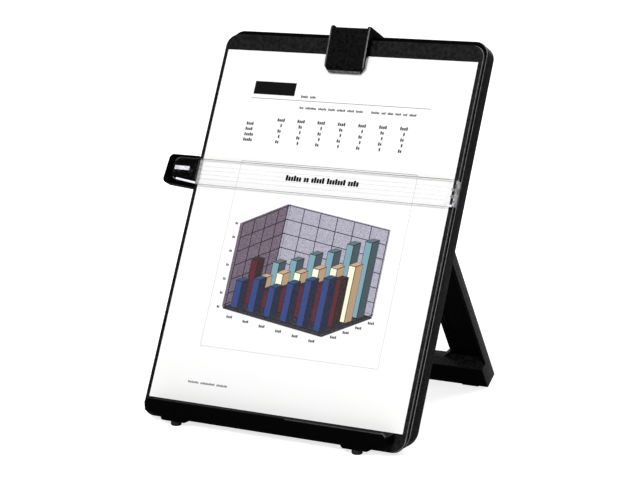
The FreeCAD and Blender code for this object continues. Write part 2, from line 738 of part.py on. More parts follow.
def leg_hinge(side):
    strip = block(
        EAR_RANGE,
        (SKIN_BACK, SKIN_BACK + BRACKET_THICK),
        (HINGE_Z - BRACKET_HALF_HEIGHT, HINGE_Z + BRACKET_HALF_HEIGHT),
    )
    ear = block(
        EAR_RANGE, (SKIN_BACK, HINGE_Y), (HINGE_Z - HINGE_RADIUS, HINGE_Z + HINGE_RADIUS)
    )
    crown = rod(HINGE_RADIUS, (EAR_RANGE[0], HINGE_Y, HINGE_Z), (EAR_RANGE[1], HINGE_Y, HINGE_Z))
    wing_top = HINGE_Y - lug_reach() - BODY_GAP
    wings = block(
        (LUG_IN[0], LUG_OUT[1]), (SKIN_BACK, wing_top), (HINGE_Z - WING_BELOW, HINGE_Z + WING_ABOVE)
    )
    bracket = fuse([strip, ear, crown, wings])
    bore = rod(
        HINGE_PIN_RADIUS + PIN_PLAY,
        (EAR_RANGE[0] - OVERRUN, HINGE_Y, HINGE_Z),
        (EAR_RANGE[1] + OVERRUN, HINGE_Y, HINGE_Z),
    )
    holes = [bore]
    hole_end = SKIN_BACK + BRACKET_THICK + OVERRUN
    for x, z in bracket_screw_spots():
        start = (x, SKIN_BACK - OVERRUN, z)
        holes.append(rod(SCREW_RADIUS + THREAD_PLAY, start, (x, hole_end, z)))
    bracket = cut(bracket, holes)
    return on_board(bracket if side > 0 else mirrored(bracket))


def lug_reach():
    """How far a lug's tail comes forward of the axis with the leg out."""
    spread = math.radians(LEG_SPREAD)
    return LUG_HALF_DEPTH * math.cos(spread) + LUG_TAIL * math.sin(spread)


def hinge_screws():
    seat = SKIN_BACK + BRACKET_THICK
    length = seat - HOUSING_FRONT
    screws = []
    for x, z in bracket_screw_spots():
        screws.append(
            screw(x, z, seat, length, SCREW_RADIUS, BRACKET_HEAD_RADIUS, SCREW_HEAD_DEPTH)
        )
    return on_board(Part.makeCompound(screws))


def leg_pin(side):
    ends = (LUG_IN[0] - HINGE_PIN_PROUD, LUG_OUT[1] + HINGE_PIN_PROUD)
    pin = rod(HINGE_PIN_RADIUS, (ends[0], HINGE_Y, HINGE_Z), (ends[1], HINGE_Y, HINGE_Z))
    pin = pin.makeChamfer(HINGE_PIN_BEVEL, [edge for edge in pin.Edges if len(edge.Vertexes) == 1])
    return on_board(pin if side > 0 else mirrored(pin))


def leg_lug(x_range):
    stem = block(x_range, (-LUG_HALF_DEPTH, LUG_HALF_DEPTH), (LEG_TOP - LEG_FLANGE, LUG_TAIL))
    stem = round_edges(
        stem,
        LUG_ROUND,
        lambda edge: edge_runs_along(edge, vector(1, 0, 0)) and edge.BoundBox.ZMin > 0,
    )
    eye = rod(HINGE_RADIUS, (x_range[0], 0, 0), (x_range[1], 0, 0))
    bore = rod(HINGE_PIN_RADIUS + PIN_PLAY, (x_range[0], 0, 0), (x_range[1], 0, 0))
    return fuse([stem, eye]).cut(bore)


def leg_frame():
    end = -leg_length() + LEG_FOOT_PROUD
    whole = (-LEG_HALF, LEG_HALF)
    front = LEG_BACK - LEG_FLANGE_DEPTH
    bar_front = LEG_BACK - LEG_BAR_DEPTH
    bar_top = end + LEG_BAR_HEIGHT
    skin_front = LEG_BACK - LEG_SKIN
    skin = block(whole, (skin_front, LEG_BACK), (end, LEG_TOP))
    window = upright_prism(
        [
            (-LEG_WINDOW_HALF, bar_top + LEG_WINDOW_BEVEL),
            (-LEG_WINDOW_HALF + LEG_WINDOW_BEVEL, bar_top),
            (LEG_WINDOW_HALF - LEG_WINDOW_BEVEL, bar_top),
            (LEG_WINDOW_HALF, bar_top + LEG_WINDOW_BEVEL),
            (LEG_WINDOW_HALF, LEG_WINDOW_TOP - LEG_WINDOW_BEVEL),
            (LEG_WINDOW_HALF - LEG_WINDOW_BEVEL, LEG_WINDOW_TOP),
            (-LEG_WINDOW_HALF + LEG_WINDOW_BEVEL, LEG_WINDOW_TOP),
            (-LEG_WINDOW_HALF, LEG_WINDOW_TOP - LEG_WINDOW_BEVEL),
        ],
        (front - OVERRUN, LEG_BACK + OVERRUN),
    )
    rim_half = LEG_WINDOW_HALF + LEG_RIM_THICK
    rim_depth = (LEG_BACK - LEG_RIM_DEPTH, LEG_BACK)
    rim = block((-rim_half, rim_half), rim_depth, (bar_top, LEG_WINDOW_TOP + LEG_RIM_THICK))
    rim_corner = [edge for edge in rim.Edges if edge_runs_along(edge, vector(0, 1, 0))]
    rim = rim.makeChamfer(LEG_WINDOW_BEVEL, rim_corner)
    flange = (LEG_HALF - LEG_FLANGE, LEG_HALF)
    pieces = [skin, rim]
    pieces += both_sides(block(flange, (front, LEG_BACK), (end, LEG_TOP)))
    pieces.append(block(whole, (front, LEG_BACK), (LEG_TOP - LEG_FLANGE, LEG_TOP)))
    pieces.append(block(whole, (bar_front, LEG_BACK), (end, bar_top)))
    rib_depth = (skin_front - LEG_RIB_DEPTH, LEG_BACK)
    for share in LEG_RIB_SHARES:
        upright = centred(share * LEG_WINDOW_HALF, RIB_THICK)
        pieces += both_sides(block(upright, rib_depth, (LEG_WINDOW_TOP, LEG_TOP)))
    for share in LEG_CROSS_RIB_SHARES:
        height = centred(between(LEG_TOP, LEG_WINDOW_TOP, share), RIB_THICK)
        pieces.append(block(whole, rib_depth, height))
    for x_range in (LUG_IN, LUG_OUT):
        pieces += both_sides(leg_lug(x_range))
    frame = fuse(pieces)

    bar_inner = LEG_HALF - LEG_FLANGE
    hollow = block(
        (-bar_inner, bar_inner),
        (bar_front + LEG_FLANGE, LEG_BACK - LEG_FLANGE),
        (end - OVERRUN, bar_top - LEG_FLANGE),
    )
    keep = []
    for share in LEG_BAR_RIB_SHARES:
        upright = centred(share * LEG_WINDOW_HALF, RIB_THICK)
        keep.append(block(upright, (bar_front, LEG_BACK), (end, bar_top)))
    return on_leg(cut(frame, [window, cut(hollow, keep)]))


def leg_foot(side):
    end = -leg_length() + LEG_FOOT_PROUD
    bar_front = LEG_BACK - LEG_BAR_DEPTH
    centre = side * (LEG_HALF - LEG_FOOT_INSET)
    across = (centre - LEG_FOOT_HALF, centre + LEG_FOOT_HALF)
    sole = block(across, (bar_front, bar_front + LEG_FOOT_DEPTH), (end - LEG_FOOT_DEPTH, end))
    stem_front = bar_front + LEG_FLANGE + LEG_FOOT_STEM_INSET
    stem = block(
        (centre - LEG_FOOT_STEM_HALF, centre + LEG_FOOT_STEM_HALF),
        (stem_front, stem_front + LEG_FOOT_STEM_DEPTH),
        (end, end + LEG_FOOT_STEM_HEIGHT),
    )
    foot = on_leg(fuse([sole, stem]))
    reach = 2 * leg_length()
    desk = block((-reach, reach), (-reach, reach), (-reach, 0))
    return foot.cut(desk)


def clip_bracket():
    base = block(
        (-CLIP_EAR_OUT, CLIP_EAR_OUT),
        (SKIN_BACK, SKIN_BACK + CLIP_BASE_THICK),
        (CLIP_BASE_BOTTOM, CLIP_BASE_TOP),
    )
    outline = [
        (SKIN_BACK, CLIP_BASE_BOTTOM + CLIP_BASE_THICK),
        (SKIN_BACK + CLIP_BASE_THICK, CLIP_BASE_BOTTOM + CLIP_BASE_THICK),
        (CLIP_AXIS_Y + CLIP_EAR_RADIUS, CLIP_AXIS_Z - CLIP_EAR_RADIUS),
        (CLIP_AXIS_Y + CLIP_EAR_RADIUS, CLIP_AXIS_Z),
        (CLIP_AXIS_Y, CLIP_AXIS_Z + CLIP_EAR_RADIUS),
        (SKIN_BACK + BODY_GAP, CLIP_AXIS_Z),
        (SKIN_BACK, CLIP_AXIS_Z - CLIP_EAR_RADIUS),
    ]
    ear_range = (CLIP_EAR_IN, CLIP_EAR_OUT)
    ear = fuse([prism(outline, ear_range), axle(CLIP_EAR_RADIUS, *ear_range)])
    holes = [axle(CLIP_PIN_RADIUS + PIN_PLAY, -CLIP_HALF, CLIP_HALF)]
    hole_end = SKIN_BACK + CLIP_BASE_THICK + OVERRUN
    for x, z in clip_screw_spots():
        start = (x, SKIN_BACK - OVERRUN, z)
        holes.append(rod(SCREW_RADIUS + THREAD_PLAY, start, (x, hole_end, z)))
    return on_board(cut(fuse([base] + both_sides(ear)), holes))


def axle(radius, start, end):
    """Round bar on the clip's pivot between two places across the board."""
    return rod(radius, (start, CLIP_AXIS_Y, CLIP_AXIS_Z), (end, CLIP_AXIS_Y, CLIP_AXIS_Z))


def clip_screws():
    seat = SKIN_BACK + CLIP_BASE_THICK
    length = seat - HOUSING_FRONT
    screws = []
    for x, z in clip_screw_spots():
        screws.append(
            screw(x, z, seat, length, SCREW_RADIUS, BRACKET_HEAD_RADIUS, SCREW_HEAD_DEPTH)
        )
    return on_board(Part.makeCompound(screws))


def clip_pin():
    half = CLIP_HALF - PIN_PLAY
    return on_board(axle(CLIP_PIN_RADIUS, -half, half))


def clip_spring():
    height = COIL_TURNS * COIL_PITCH
    path = Part.Wire(Part.makeHelix(COIL_PITCH, height, COIL_RADIUS))
    section = Part.Wire(Part.makeCircle(COIL_WIRE, vector(COIL_RADIUS, 0, 0), vector(0, 1, 0)))
    coil = path.makePipeShell([section], True, True)
    long_leg = rod(COIL_WIRE, (COIL_RADIUS, 0, 0), (COIL_RADIUS, -COIL_LEG, 0))
    short_leg = rod(COIL_WIRE, (COIL_RADIUS, 0, height), (COIL_RADIUS, COIL_LEG_SHORT, height))
    spring = fuse([coil, long_leg, short_leg])
    spring.translate(vector(0, 0, -height / 2))
    spring.rotate(vector(0, 0, 0), vector(0, 1, 0), 90)
    spring.rotate(vector(0, 0, 0), vector(1, 0, 0), 90)
    spring.translate(vector(0, CLIP_AXIS_Y, CLIP_AXIS_Z))
    return on_board(spring)


def grip_pad_shape():
    back = SHEET_FRONT - GRIP_PAD_FRONT_GAP
    bottom = CLIP_TIP_IN[1] - GRIP_PAD_THICK / 2
    return block(
        (-GRIP_PAD_HALF, GRIP_PAD_HALF),
        (back - GRIP_PAD_THICK, back),
        (bottom, bottom + GRIP_PAD_HEIGHT),
    )


def clip_shell():
    """Cap and face of the clip, curling in to the sheet at the tip."""
    cap_front = (CLIP_CREST[0], CLIP_CREST[1] - CLIP_CAP_DROP)
    cap_back = (CLIP_CREST_BACK[0], CLIP_CREST_BACK[1] - CLIP_CAP_DROP)
    outline = [
        cap_back,
        cap_front,
        (CLIP_FRONT_TOP[0], CLIP_FRONT_TOP[1] - CLIP_CAP_DROP),
        CLIP_KNEE,
        CLIP_CURL,
        CLIP_TIP,
        CLIP_TIP_IN,
        CLIP_CURL_IN,
        CLIP_KNEE_IN,
        (CLIP_FRONT_TOP[0] + CLIP_SHELL, cap_front[1] - CLIP_SHELL),
        (cap_back[0], cap_back[1] - CLIP_SHELL),
    ]
    shell = prism(outline, (-CLIP_HALF, CLIP_HALF))
    for corner in (CLIP_KNEE, CLIP_KNEE_IN):
        shell = round_edges(shell, CLIP_KNEE_ROUND, lambda edge: at_corner(edge, corner))
    for corner in (CLIP_CURL, CLIP_CURL_IN):
        shell = round_edges(shell, CLIP_CURL_ROUND, lambda edge: at_corner(edge, corner))
    return shell


def clip_cheek():
    low_front = [between(CLIP_KNEE[i], CLIP_FRONT_TOP[i], CLIP_CHEEK_SHARE) for i in (0, 1)]
    outline = [
        CLIP_CREST_BACK,
        CLIP_CREST,
        CLIP_FRONT_TOP,
        low_front,
        CLIP_CHEEK_FOOT,
        (CLIP_CHEEK_FOOT[0], CLIP_NECK),
        (CLIP_AXIS_Y - CLIP_CHEEK_RADIUS, CLIP_NECK),
        (CLIP_AXIS_Y - CLIP_CHEEK_RADIUS, CLIP_AXIS_Z),
        (CLIP_AXIS_Y + CLIP_CHEEK_RADIUS, CLIP_AXIS_Z),
        (CLIP_AXIS_Y + CLIP_CHEEK_RADIUS, CLIP_NECK),
    ]
    across = (CLIP_HALF - CLIP_CHEEK, CLIP_HALF)
    return fuse([prism(outline, across), axle(CLIP_CHEEK_RADIUS, *across)])


def clip_tab():
    """Tab behind the board that is pressed to open the clip, with grip bars across it."""
    back, top = CLIP_CREST_BACK
    shoulder = (back + CLIP_TAB_SHOULDER, top - CLIP_TAB_STEP - CLIP_TAB_LAP)
    end = (back + CLIP_TAB_REACH, top - CLIP_TAB_LENGTH)
    outline = [
        (back - CLIP_TAB_LAP, top - CLIP_TAB_STEP),
        shoulder,
        end,
        (end[0] - CLIP_TAB_THICK, end[1] - CLIP_TAB_STEP),
        (shoulder[0] - CLIP_TAB_THICK, shoulder[1] - CLIP_TAB_THICK - CLIP_TAB_LAP),
        (back - CLIP_TAB_LAP, shoulder[1] - CLIP_TAB_THICK),
    ]
    run = math.hypot(end[0] - shoulder[0], end[1] - shoulder[1])
    shapes = [prism(outline, (-CLIP_TAB_HALF, CLIP_TAB_HALF))]
    for index in range(CLIP_GRIP_COUNT):
        along = CLIP_GRIP_START_SHARE + index * CLIP_GRIP_STEP / run
        y, z = [between(shoulder[i], end[i], along) for i in (0, 1)]
        shapes.append(rod(CLIP_GRIP_RADIUS, (-CLIP_TAB_HALF, y, z), (CLIP_TAB_HALF, y, z)))
    return fuse(shapes)


def clip_lever():
    lever = fuse([clip_shell(), clip_tab()] + both_sides(clip_cheek()))
    reach = CLIP_HALF + OVERRUN
    bore = axle(CLIP_PIN_RADIUS + PIN_PLAY, -reach, reach)
    return on_board(cut(lever, both_sides(tip_bevel()) + [bore, grip_pad_shape()]))


def tip_bevel():
    """Wedge that takes the lower corner off the clip's face."""
    low = CLIP_TIP[1] - OVERRUN
    slope = CLIP_TIP_BEVEL / CLIP_TIP_BEVEL_HEIGHT
    outline = [
        (CLIP_HALF - CLIP_TIP_BEVEL - slope * OVERRUN, low),
        (CLIP_HALF + OVERRUN, low),
        (CLIP_HALF + OVERRUN, CLIP_TIP[1] + CLIP_TIP_BEVEL_HEIGHT),
        (CLIP_HALF, CLIP_TIP[1] + CLIP_TIP_BEVEL_HEIGHT),
    ]
    return upright_prism(outline, (CLIP_FRONT_TOP[0] - OVERRUN, 0))


def clip_grip_pad():
    return on_board(grip_pad_shape())


def copy_sheet():
    depth = (SHEET_FRONT, -SHEET_OFF)
    return on_board(block((-SHEET_HALF, SHEET_HALF), depth, (0, SHEET_HEIGHT)))


def rivet_spots():
    return [(HOOK_IN - RIVET_INSET, GUIDE_CENTRE + step * RIVET_OFFSET) for step in (-1, 1)]


def stud_spots():
    return [(STUD_X + side * STUD_OFFSET, GUIDE_CENTRE) for side in (-1, 1)]


def guide_bar():
    outline = [
        (BAR_LEFT, GUIDE_LOW + BAR_TAPER),
        (-SHEET_HALF, GUIDE_LOW),
        (HOOK_IN, GUIDE_LOW),
        (HOOK_IN, GUIDE_HIGH),
        (BAR_LEFT, GUIDE_HIGH),
    ]
    bar = upright_prism(outline, (BAR_FRONT, BAR_BACK))
    left_end = (
        lambda edge: edge_runs_along(edge, vector(0, 1, 0))
        and edge.BoundBox.XMax < BAR_LEFT + BAR_CORNER
    )
    bar = round_edges(bar, BAR_CORNER, left_end)
    ridge_start = BAR_LEFT + BAR_CORNER
    taper_share = (-SHEET_HALF - ridge_start) / (-SHEET_HALF - BAR_LEFT)
    low_ridge = [
        (ridge_start, GUIDE_LOW + BAR_TAPER * taper_share),
        (-SHEET_HALF, GUIDE_LOW),
        (HOOK_IN, GUIDE_LOW),
        (HOOK_IN, GUIDE_LOW + BAR_RIDGE_HEIGHT),
        (-SHEET_HALF, GUIDE_LOW + BAR_RIDGE_HEIGHT),
        (ridge_start, GUIDE_LOW + BAR_TAPER * taper_share + BAR_RIDGE_HEIGHT),
    ]
    ridge_depth = (BAR_FRONT - BAR_RIDGE, BAR_FRONT)
    high_ridge = (GUIDE_HIGH - BAR_RIDGE_HEIGHT, GUIDE_HIGH)
    ridges = [
        upright_prism(low_ridge, ridge_depth),
        block((ridge_start, HOOK_IN), ridge_depth, high_ridge),
    ]
    bar = fuse([bar] + ridges)
    cuts = []
    first = -(BAR_LINE_COUNT - 1) / 2
    for index in range(BAR_LINE_COUNT):
        z = GUIDE_CENTRE + (first + index) * BAR_LINE_STEP
        line = (z - BAR_LINE_HEIGHT / 2, z + BAR_LINE_HEIGHT / 2)
        line_depth = (BAR_BACK - BAR_LINE_DEPTH, BAR_BACK + OVERRUN)
        cuts.append(block((-SHEET_HALF, LAP_START - OVERRUN), line_depth, line))
    beyond = BAR_BACK + OVERRUN
    cuts.append(block((LAP_START, HOOK_IN + OVERRUN), (LAP_SPLIT, beyond), (GUIDE_LOW, GUIDE_HIGH)))
    for x, z in rivet_spots():
        cuts.append(rod(RIVET_RADIUS, (x, BAR_FRONT - OVERRUN, z), (x, beyond, z)))
    for x, z in stud_spots():
        socket = STUD_RADIUS + THREAD_PLAY
        cuts.append(rod(socket, (x, BAR_BACK - STUD_DEPTH, z), (x, beyond, z)))
    return on_board(cut(bar, cuts))


def shoe_shape():
    half = SHOE_HALF_HEIGHT
    tip = SLIDER_RIGHT + SHOE_REACH + BODY_GAP
    shoe = block(
        (SLIDER_RIGHT - SHOE_ROOT, tip),
        (SHOE_FRONT, SHOE_REAR),
        (GUIDE_CENTRE - half, GUIDE_CENTRE + half),
    )
    at_tip = lambda edge: edge_runs_along(edge, vector(0, 1, 0)) and edge.BoundBox.XMin > SLIDER_RIGHT
    return round_edges(shoe, SHOE_BEVEL, at_tip)


def guide_slider():
    low, high = GUIDE_CENTRE - SLIDER_HALF_HEIGHT, GUIDE_CENTRE + SLIDER_HALF_HEIGHT
    outline = [
        (SLIDER_LEFT, low + SLIDER_TAPER),
        (SLIDER_RIGHT, low),
        (SLIDER_RIGHT, high),
        (SLIDER_LEFT + SLIDER_LEAN, high),
    ]
    body = upright_prism(outline, (BAR_BACK, SLIDER_BACK))
    left_end = (
        lambda edge: edge_runs_along(edge, vector(0, 1, 0))
        and edge.BoundBox.XMax < SLIDER_RIGHT - SLIDER_CORNER
    )
    body = round_edges(body, SLIDER_CORNER, left_end)
    body = round_edges(body, SLIDER_EDGE, lambda edge: at_depth(edge, SLIDER_BACK))
    thumb = block(
        (SLIDER_LEFT + SLIDER_LEAN + SLIDER_CORNER, SLIDER_RIGHT - SHOE_ROOT),
        (SLIDER_BACK - SLIDER_RECESS, SLIDER_BACK + OVERRUN),
        (GUIDE_CENTRE - SLIDER_RECESS_HALF, GUIDE_CENTRE + SLIDER_RECESS_HALF),
    )
    studs = []
    for x, z in stud_spots():
        studs.append(rod(STUD_RADIUS, (x, BAR_BACK, z), (x, BAR_BACK - STUD_DEPTH, z)))
    return on_board(cut(fuse([body] + studs), [thumb, shoe_shape()]))


def guide_shoe():
    return on_board(shoe_shape())


def guide_leaf():
    """Bowed strip on the shoe's tip that rubs the spacer's edge."""
    root = SLIDER_RIGHT + SHOE_REACH + BODY_GAP + LEAF_GAP
    middle = (SHOE_FRONT + SHOE_REAR) / 2
    half_width = (SHOE_REAR - SHOE_FRONT) / 2 - BODY_GAP
    rise = (
        (root, GUIDE_CENTRE - LEAF_HALF_HEIGHT),
        (root + LEAF_BOW, GUIDE_CENTRE),
        (root, GUIDE_CENTRE + LEAF_HALF_HEIGHT),
    )
    points = [vector(x, middle - half_width, z) for x, z in rise]
    inner = Part.Arc(*points).toShape()
    outer = Part.Arc(*[point + vector(LEAF_THICK, 0, 0) for point in points]).toShape()
    ends = [
        Part.makeLine(points[0], points[0] + vector(LEAF_THICK, 0, 0)),
        Part.makeLine(points[2], points[2] + vector(LEAF_THICK, 0, 0)),
    ]
    face = Part.Face(Part.Wire(Part.__sortEdges__([inner, outer] + ends)))
    return on_board(face.extrude(vector(0, 2 * half_width, 0)))


def guide_end_hook():
    span = (GUIDE_CENTRE - HOOK_HALF_HEIGHT, GUIDE_CENTRE + HOOK_HALF_HEIGHT)
    wall = block((HOOK_IN, HOOK_OUT), (BAR_FRONT, SHOE_REAR), span)
    outer_corner = (
        lambda edge: edge_runs_along(edge, vector(0, 0, 1))
        and edge.BoundBox.XMin > HOOK_IN + HOOK_WALL / 2
    )
    wall = round_edges(wall, HOOK_EDGE, outer_corner)
    lap = block((LAP_START, HOOK_IN), (LAP_SPLIT, BAR_BACK), span)
    tongue_span = (GUIDE_CENTRE - SHOE_HALF_HEIGHT, GUIDE_CENTRE + SHOE_HALF_HEIGHT)
    tongue = block((PANEL_HALF - SHOE_REACH, HOOK_IN), (SHOE_FRONT, SHOE_REAR), tongue_span)
    hook = fuse([wall, lap, tongue])
    holes = []
    for x, z in rivet_spots():
        holes.append(rod(RIVET_RADIUS, (x, LAP_SPLIT - OVERRUN, z), (x, BAR_BACK + OVERRUN, z)))
    return on_board(cut(hook, holes))


def guide_rivets():
    rivets = []
    for x, z in rivet_spots():
        shank = rod(RIVET_RADIUS, (x, BAR_FRONT, z), (x, BAR_BACK, z))
        head = rod(RIVET_HEAD_RADIUS, (x, BAR_FRONT - RIVET_HEAD_DEPTH, z), (x, BAR_FRONT, z))
        rivets.append(fuse([shank, head]))
    return on_board(Part.makeCompound(rivets))


def guide_label_plate():
    middle = GUIDE_CENTRE + LABEL_RISE
    return on_board(
        block(
            (BAR_LEFT + LABEL_INSET, BAR_LEFT + LABEL_INSET + LABEL_WIDTH),
            (BAR_FRONT - LABEL_THICK, BAR_FRONT),
            (middle - LABEL_HALF_HEIGHT, middle + LABEL_HALF_HEIGHT),
        )
    )


SIDES = {"left": -1, "right": 1}

pieces = {
    "front_panel": front_panel(),
    "spacer_frame": spacer_frame(),
    "rear_housing": rear_housing(),
    "housing_screws": housing_screws(),
    "paper_ledge": paper_ledge(),
    "ledge_screws": ledge_screws(),
    "hinge_screws": hinge_screws(),
    "leg_frame": leg_frame(),
    "clip_bracket": clip_bracket(),
    "clip_screws": clip_screws(),
    "clip_pin": clip_pin(),
    "clip_spring": clip_spring(),
    "clip_lever": clip_lever(),
    "clip_grip_pad": clip_grip_pad(),
    "copy_sheet": copy_sheet(),
    "guide_bar": guide_bar(),
    "guide_slider": guide_slider(),
    "guide_shoe": guide_shoe(),
    "guide_leaf": guide_leaf(),
    "guide_end_hook": guide_end_hook(),
    "guide_rivets": guide_rivets(),
    "guide_label_plate": guide_label_plate(),
}
for name, side in SIDES.items():
    pieces["ledge_pad_" + name] = ledge_pad(side)
    pieces["front_foot_" + name] = front_foot(side)
    pieces["leg_hinge_" + name] = leg_hinge(side)
    pieces["leg_pin_" + name] = leg_pin(side)
    pieces["leg_foot_" + name] = leg_foot(side)

os.makedirs("parts", exist_ok=True)
for name, shape in pieces.items():
    shape.exportStep("parts/" + name + ".step")
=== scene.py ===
import math

import bpy
from mathutils import Matrix, Vector


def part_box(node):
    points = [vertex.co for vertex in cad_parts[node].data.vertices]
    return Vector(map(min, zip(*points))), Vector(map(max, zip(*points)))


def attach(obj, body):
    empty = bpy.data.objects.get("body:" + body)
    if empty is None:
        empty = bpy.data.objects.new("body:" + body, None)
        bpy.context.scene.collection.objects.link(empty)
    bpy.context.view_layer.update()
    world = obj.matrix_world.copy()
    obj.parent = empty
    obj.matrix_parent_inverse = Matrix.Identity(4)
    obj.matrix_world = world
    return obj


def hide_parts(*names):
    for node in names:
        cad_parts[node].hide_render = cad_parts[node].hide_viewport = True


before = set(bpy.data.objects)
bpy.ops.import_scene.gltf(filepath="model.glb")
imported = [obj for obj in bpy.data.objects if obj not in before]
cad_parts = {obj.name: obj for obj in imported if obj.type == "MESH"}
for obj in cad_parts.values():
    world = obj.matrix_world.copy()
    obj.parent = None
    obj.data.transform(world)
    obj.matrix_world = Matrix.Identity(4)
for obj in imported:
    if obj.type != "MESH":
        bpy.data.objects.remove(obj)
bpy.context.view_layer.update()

# The board leans back, and its pieces are placed across it, out to the reader and up it. Lengths are metres
TILT = math.radians(24.8)
REST_HEIGHT = 0.016
ACROSS = Vector((1, 0, 0))
OUTWARD = Vector((0, -math.cos(TILT), math.sin(TILT)))
UPWARD = Vector((0, math.sin(TILT), math.cos(TILT)))
BOARD = Matrix((ACROSS, OUTWARD, UPWARD)).transposed().to_4x4()
BOARD.translation = Vector((0, 0, REST_HEIGHT))
LEAN = (math.radians(90) - TILT, 0, 0)

MM = 0.001


def only(obj):
    """Make one object the only selected and the active one."""
    bpy.ops.object.select_all(action="DESELECT")
    obj.select_set(True)
    bpy.context.view_layer.objects.active = obj


def apply_modifiers(obj):
    only(obj)
    for name in [modifier.name for modifier in obj.modifiers]:
        bpy.ops.object.modifier_apply(modifier=name)


def settle(obj):
    """Put an object's place, turn and scale into its mesh."""
    only(obj)
    bpy.ops.object.transform_apply(location=True, rotation=True, scale=True)


def wear(obj, *materials):
    """Dress an object: its faces take the first material, until they are given another one's number."""
    obj.data.materials.clear()
    for material in materials:
        obj.data.materials.append(material)


def pick_vertices(obj, wanted):
    """Enter edit mode with only the vertices selected whose place passes a test."""
    only(obj)
    bpy.ops.object.mode_set(mode="EDIT")
    bpy.ops.mesh.select_mode(type="VERT")
    bpy.ops.mesh.select_all(action="DESELECT")
    bpy.ops.object.mode_set(mode="OBJECT")
    for vertex in obj.data.vertices:
        vertex.select = wanted(vertex.co)
    bpy.ops.object.mode_set(mode="EDIT")


# Materials

# Shares: how much more blue a plastic's grey has, how many specks there are to a pit of its grain, how
# light the clouds in clear plastic are, and how much of the paper's level shows in toner
COOL = 1.05
SPECKS_PER_PIT = 0.45
CLOUDED = 0.92
PAPER_LEVEL = 0.9
SHOWS_THROUGH = 0.05


def new_material(name):
    material = bpy.data.materials.new(name)
    material.use_nodes = True
    tree = material.node_tree
    return material, tree, tree.nodes["Principled BSDF"]


def add_node(tree, kind, **settings):
    node = tree.nodes.new(kind)
    for key, value in settings.items():
        setattr(node, key, value)
    return node


def noise(tree, scale, detail=4.0, roughness=0.55, stretch=(1, 1, 1)):
    """Noise fixed to the piece, with about one blotch to every 1 / scale metres."""
    place = add_node(tree, "ShaderNodeTexCoord").outputs["Object"]
    mapping = add_node(tree, "ShaderNodeMapping")
    mapping.inputs["Scale"].default_value = stretch
    tree.links.new(place, mapping.inputs["Vector"])
    texture = add_node(tree, "ShaderNodeTexNoise")
    texture.inputs["Scale"].default_value = scale
    texture.inputs["Detail"].default_value = detail
    texture.inputs["Roughness"].default_value = roughness
    tree.links.new(mapping.outputs["Vector"], texture.inputs["Vector"])
    return texture.outputs["Fac"]


def ranged(tree, value, low, high, start=0.35, end=0.65):
    """Spread a noise value over a range of plain numbers."""
    node = add_node(tree, "ShaderNodeMapRange")
    node.inputs["From Min"].default_value = start
    node.inputs["From Max"].default_value = end
    node.inputs["To Min"].default_value = low
    node.inputs["To Max"].default_value = high
    tree.links.new(value, node.inputs["Value"])
    return node.outputs["Result"]


def blended(tree, value, first, second, start=0.35, end=0.65):
    ramp = add_node(tree, "ShaderNodeValToRGB")
    ramp.color_ramp.elements[0].position = start
    ramp.color_ramp.elements[0].color = (*first, 1)
    ramp.color_ramp.elements[1].position = end
    ramp.color_ramp.elements[1].color = (*second, 1)
    tree.links.new(value, ramp.inputs["Fac"])
    return ramp.outputs["Color"]


def bumped(tree, height, strength, depth):
    bump = add_node(tree, "ShaderNodeBump")
    bump.inputs["Strength"].default_value = strength
    bump.inputs["Distance"].default_value = depth
    tree.links.new(height, bump.inputs["Height"])
    return bump.outputs["Normal"]


def grey(level):
    return (level, level, level * COOL)


def moulded_plastic(name, dark, light, roughness, specular, grain, depth):
    """Injection-moulded plastic: spark-eroded grain, faint mottling and rubbed patches."""
    material, tree, shader = new_material(name)
    speck = noise(tree, scale=SPECKS_PER_PIT / grain, detail=2, roughness=0.7)
    sheen = noise(tree, scale=11, detail=3, stretch=(1, 1, 0.6))
    pits = noise(tree, scale=1 / grain, detail=3, roughness=0.6)
    tree.links.new(blended(tree, speck, grey(dark), grey(light)), shader.inputs["Base Color"])
    tree.links.new(ranged(tree, sheen, *roughness), shader.inputs["Roughness"])
    tree.links.new(bumped(tree, pits, strength=0.6, depth=depth), shader.inputs["Normal"])
    shader.inputs["Specular IOR Level"].default_value = specular
    return material


def highlit_edge(name, dark, light, roughness, specular):
    """The same plastic on its rounded edges, smoother and shinier, with a painted highlight: its colour is
    lighter than the plastic's.
    """
    material, tree, shader = new_material(name)
    scuffs = noise(tree, scale=240, detail=5, roughness=0.7)
    patches = noise(tree, scale=26, detail=3)
    # Painted highlight: the colour runs between two levels lighter than the plastic's
    tree.links.new(blended(tree, scuffs, grey(dark), grey(light)), shader.inputs["Base Color"])
    tree.links.new(ranged(tree, patches, *roughness), shader.inputs["Roughness"])
    tree.links.new(bumped(tree, scuffs, strength=0.3, depth=0.00002), shader.inputs["Normal"])
    shader.inputs["Specular IOR Level"].default_value = specular
    return material


def foot_compound(name, dark, light):
    """Soft black rubber with a dusty, slightly worn skin."""
    material, tree, shader = new_material(name)
    speck = noise(tree, scale=900, detail=4)
    worn = noise(tree, scale=70, detail=4)
    tree.links.new(blended(tree, worn, grey(dark), grey(light)), shader.inputs["Base Color"])
    tree.links.new(ranged(tree, worn, low=0.72, high=0.92), shader.inputs["Roughness"])
    tree.links.new(bumped(tree, speck, strength=0.5, depth=0.00006), shader.inputs["Normal"])
    shader.inputs["Specular IOR Level"].default_value = 0.2
    return material


def plated_steel(name, dark, light):
    """Zinc-plated steel with drawing marks and dull stains."""
    material, tree, shader = new_material(name)
    shader.inputs["Metallic"].default_value = 1.0
    drawn = noise(tree, scale=320, detail=5, stretch=(0.12, 1, 1))
    stain = noise(tree, scale=55, detail=3)
    tree.links.new(blended(tree, stain, grey(dark), grey(light)), shader.inputs["Base Color"])
    tree.links.new(ranged(tree, drawn, low=0.22, high=0.38), shader.inputs["Roughness"])
    tree.links.new(bumped(tree, drawn, strength=0.25, depth=0.00002), shader.inputs["Normal"])
    return material


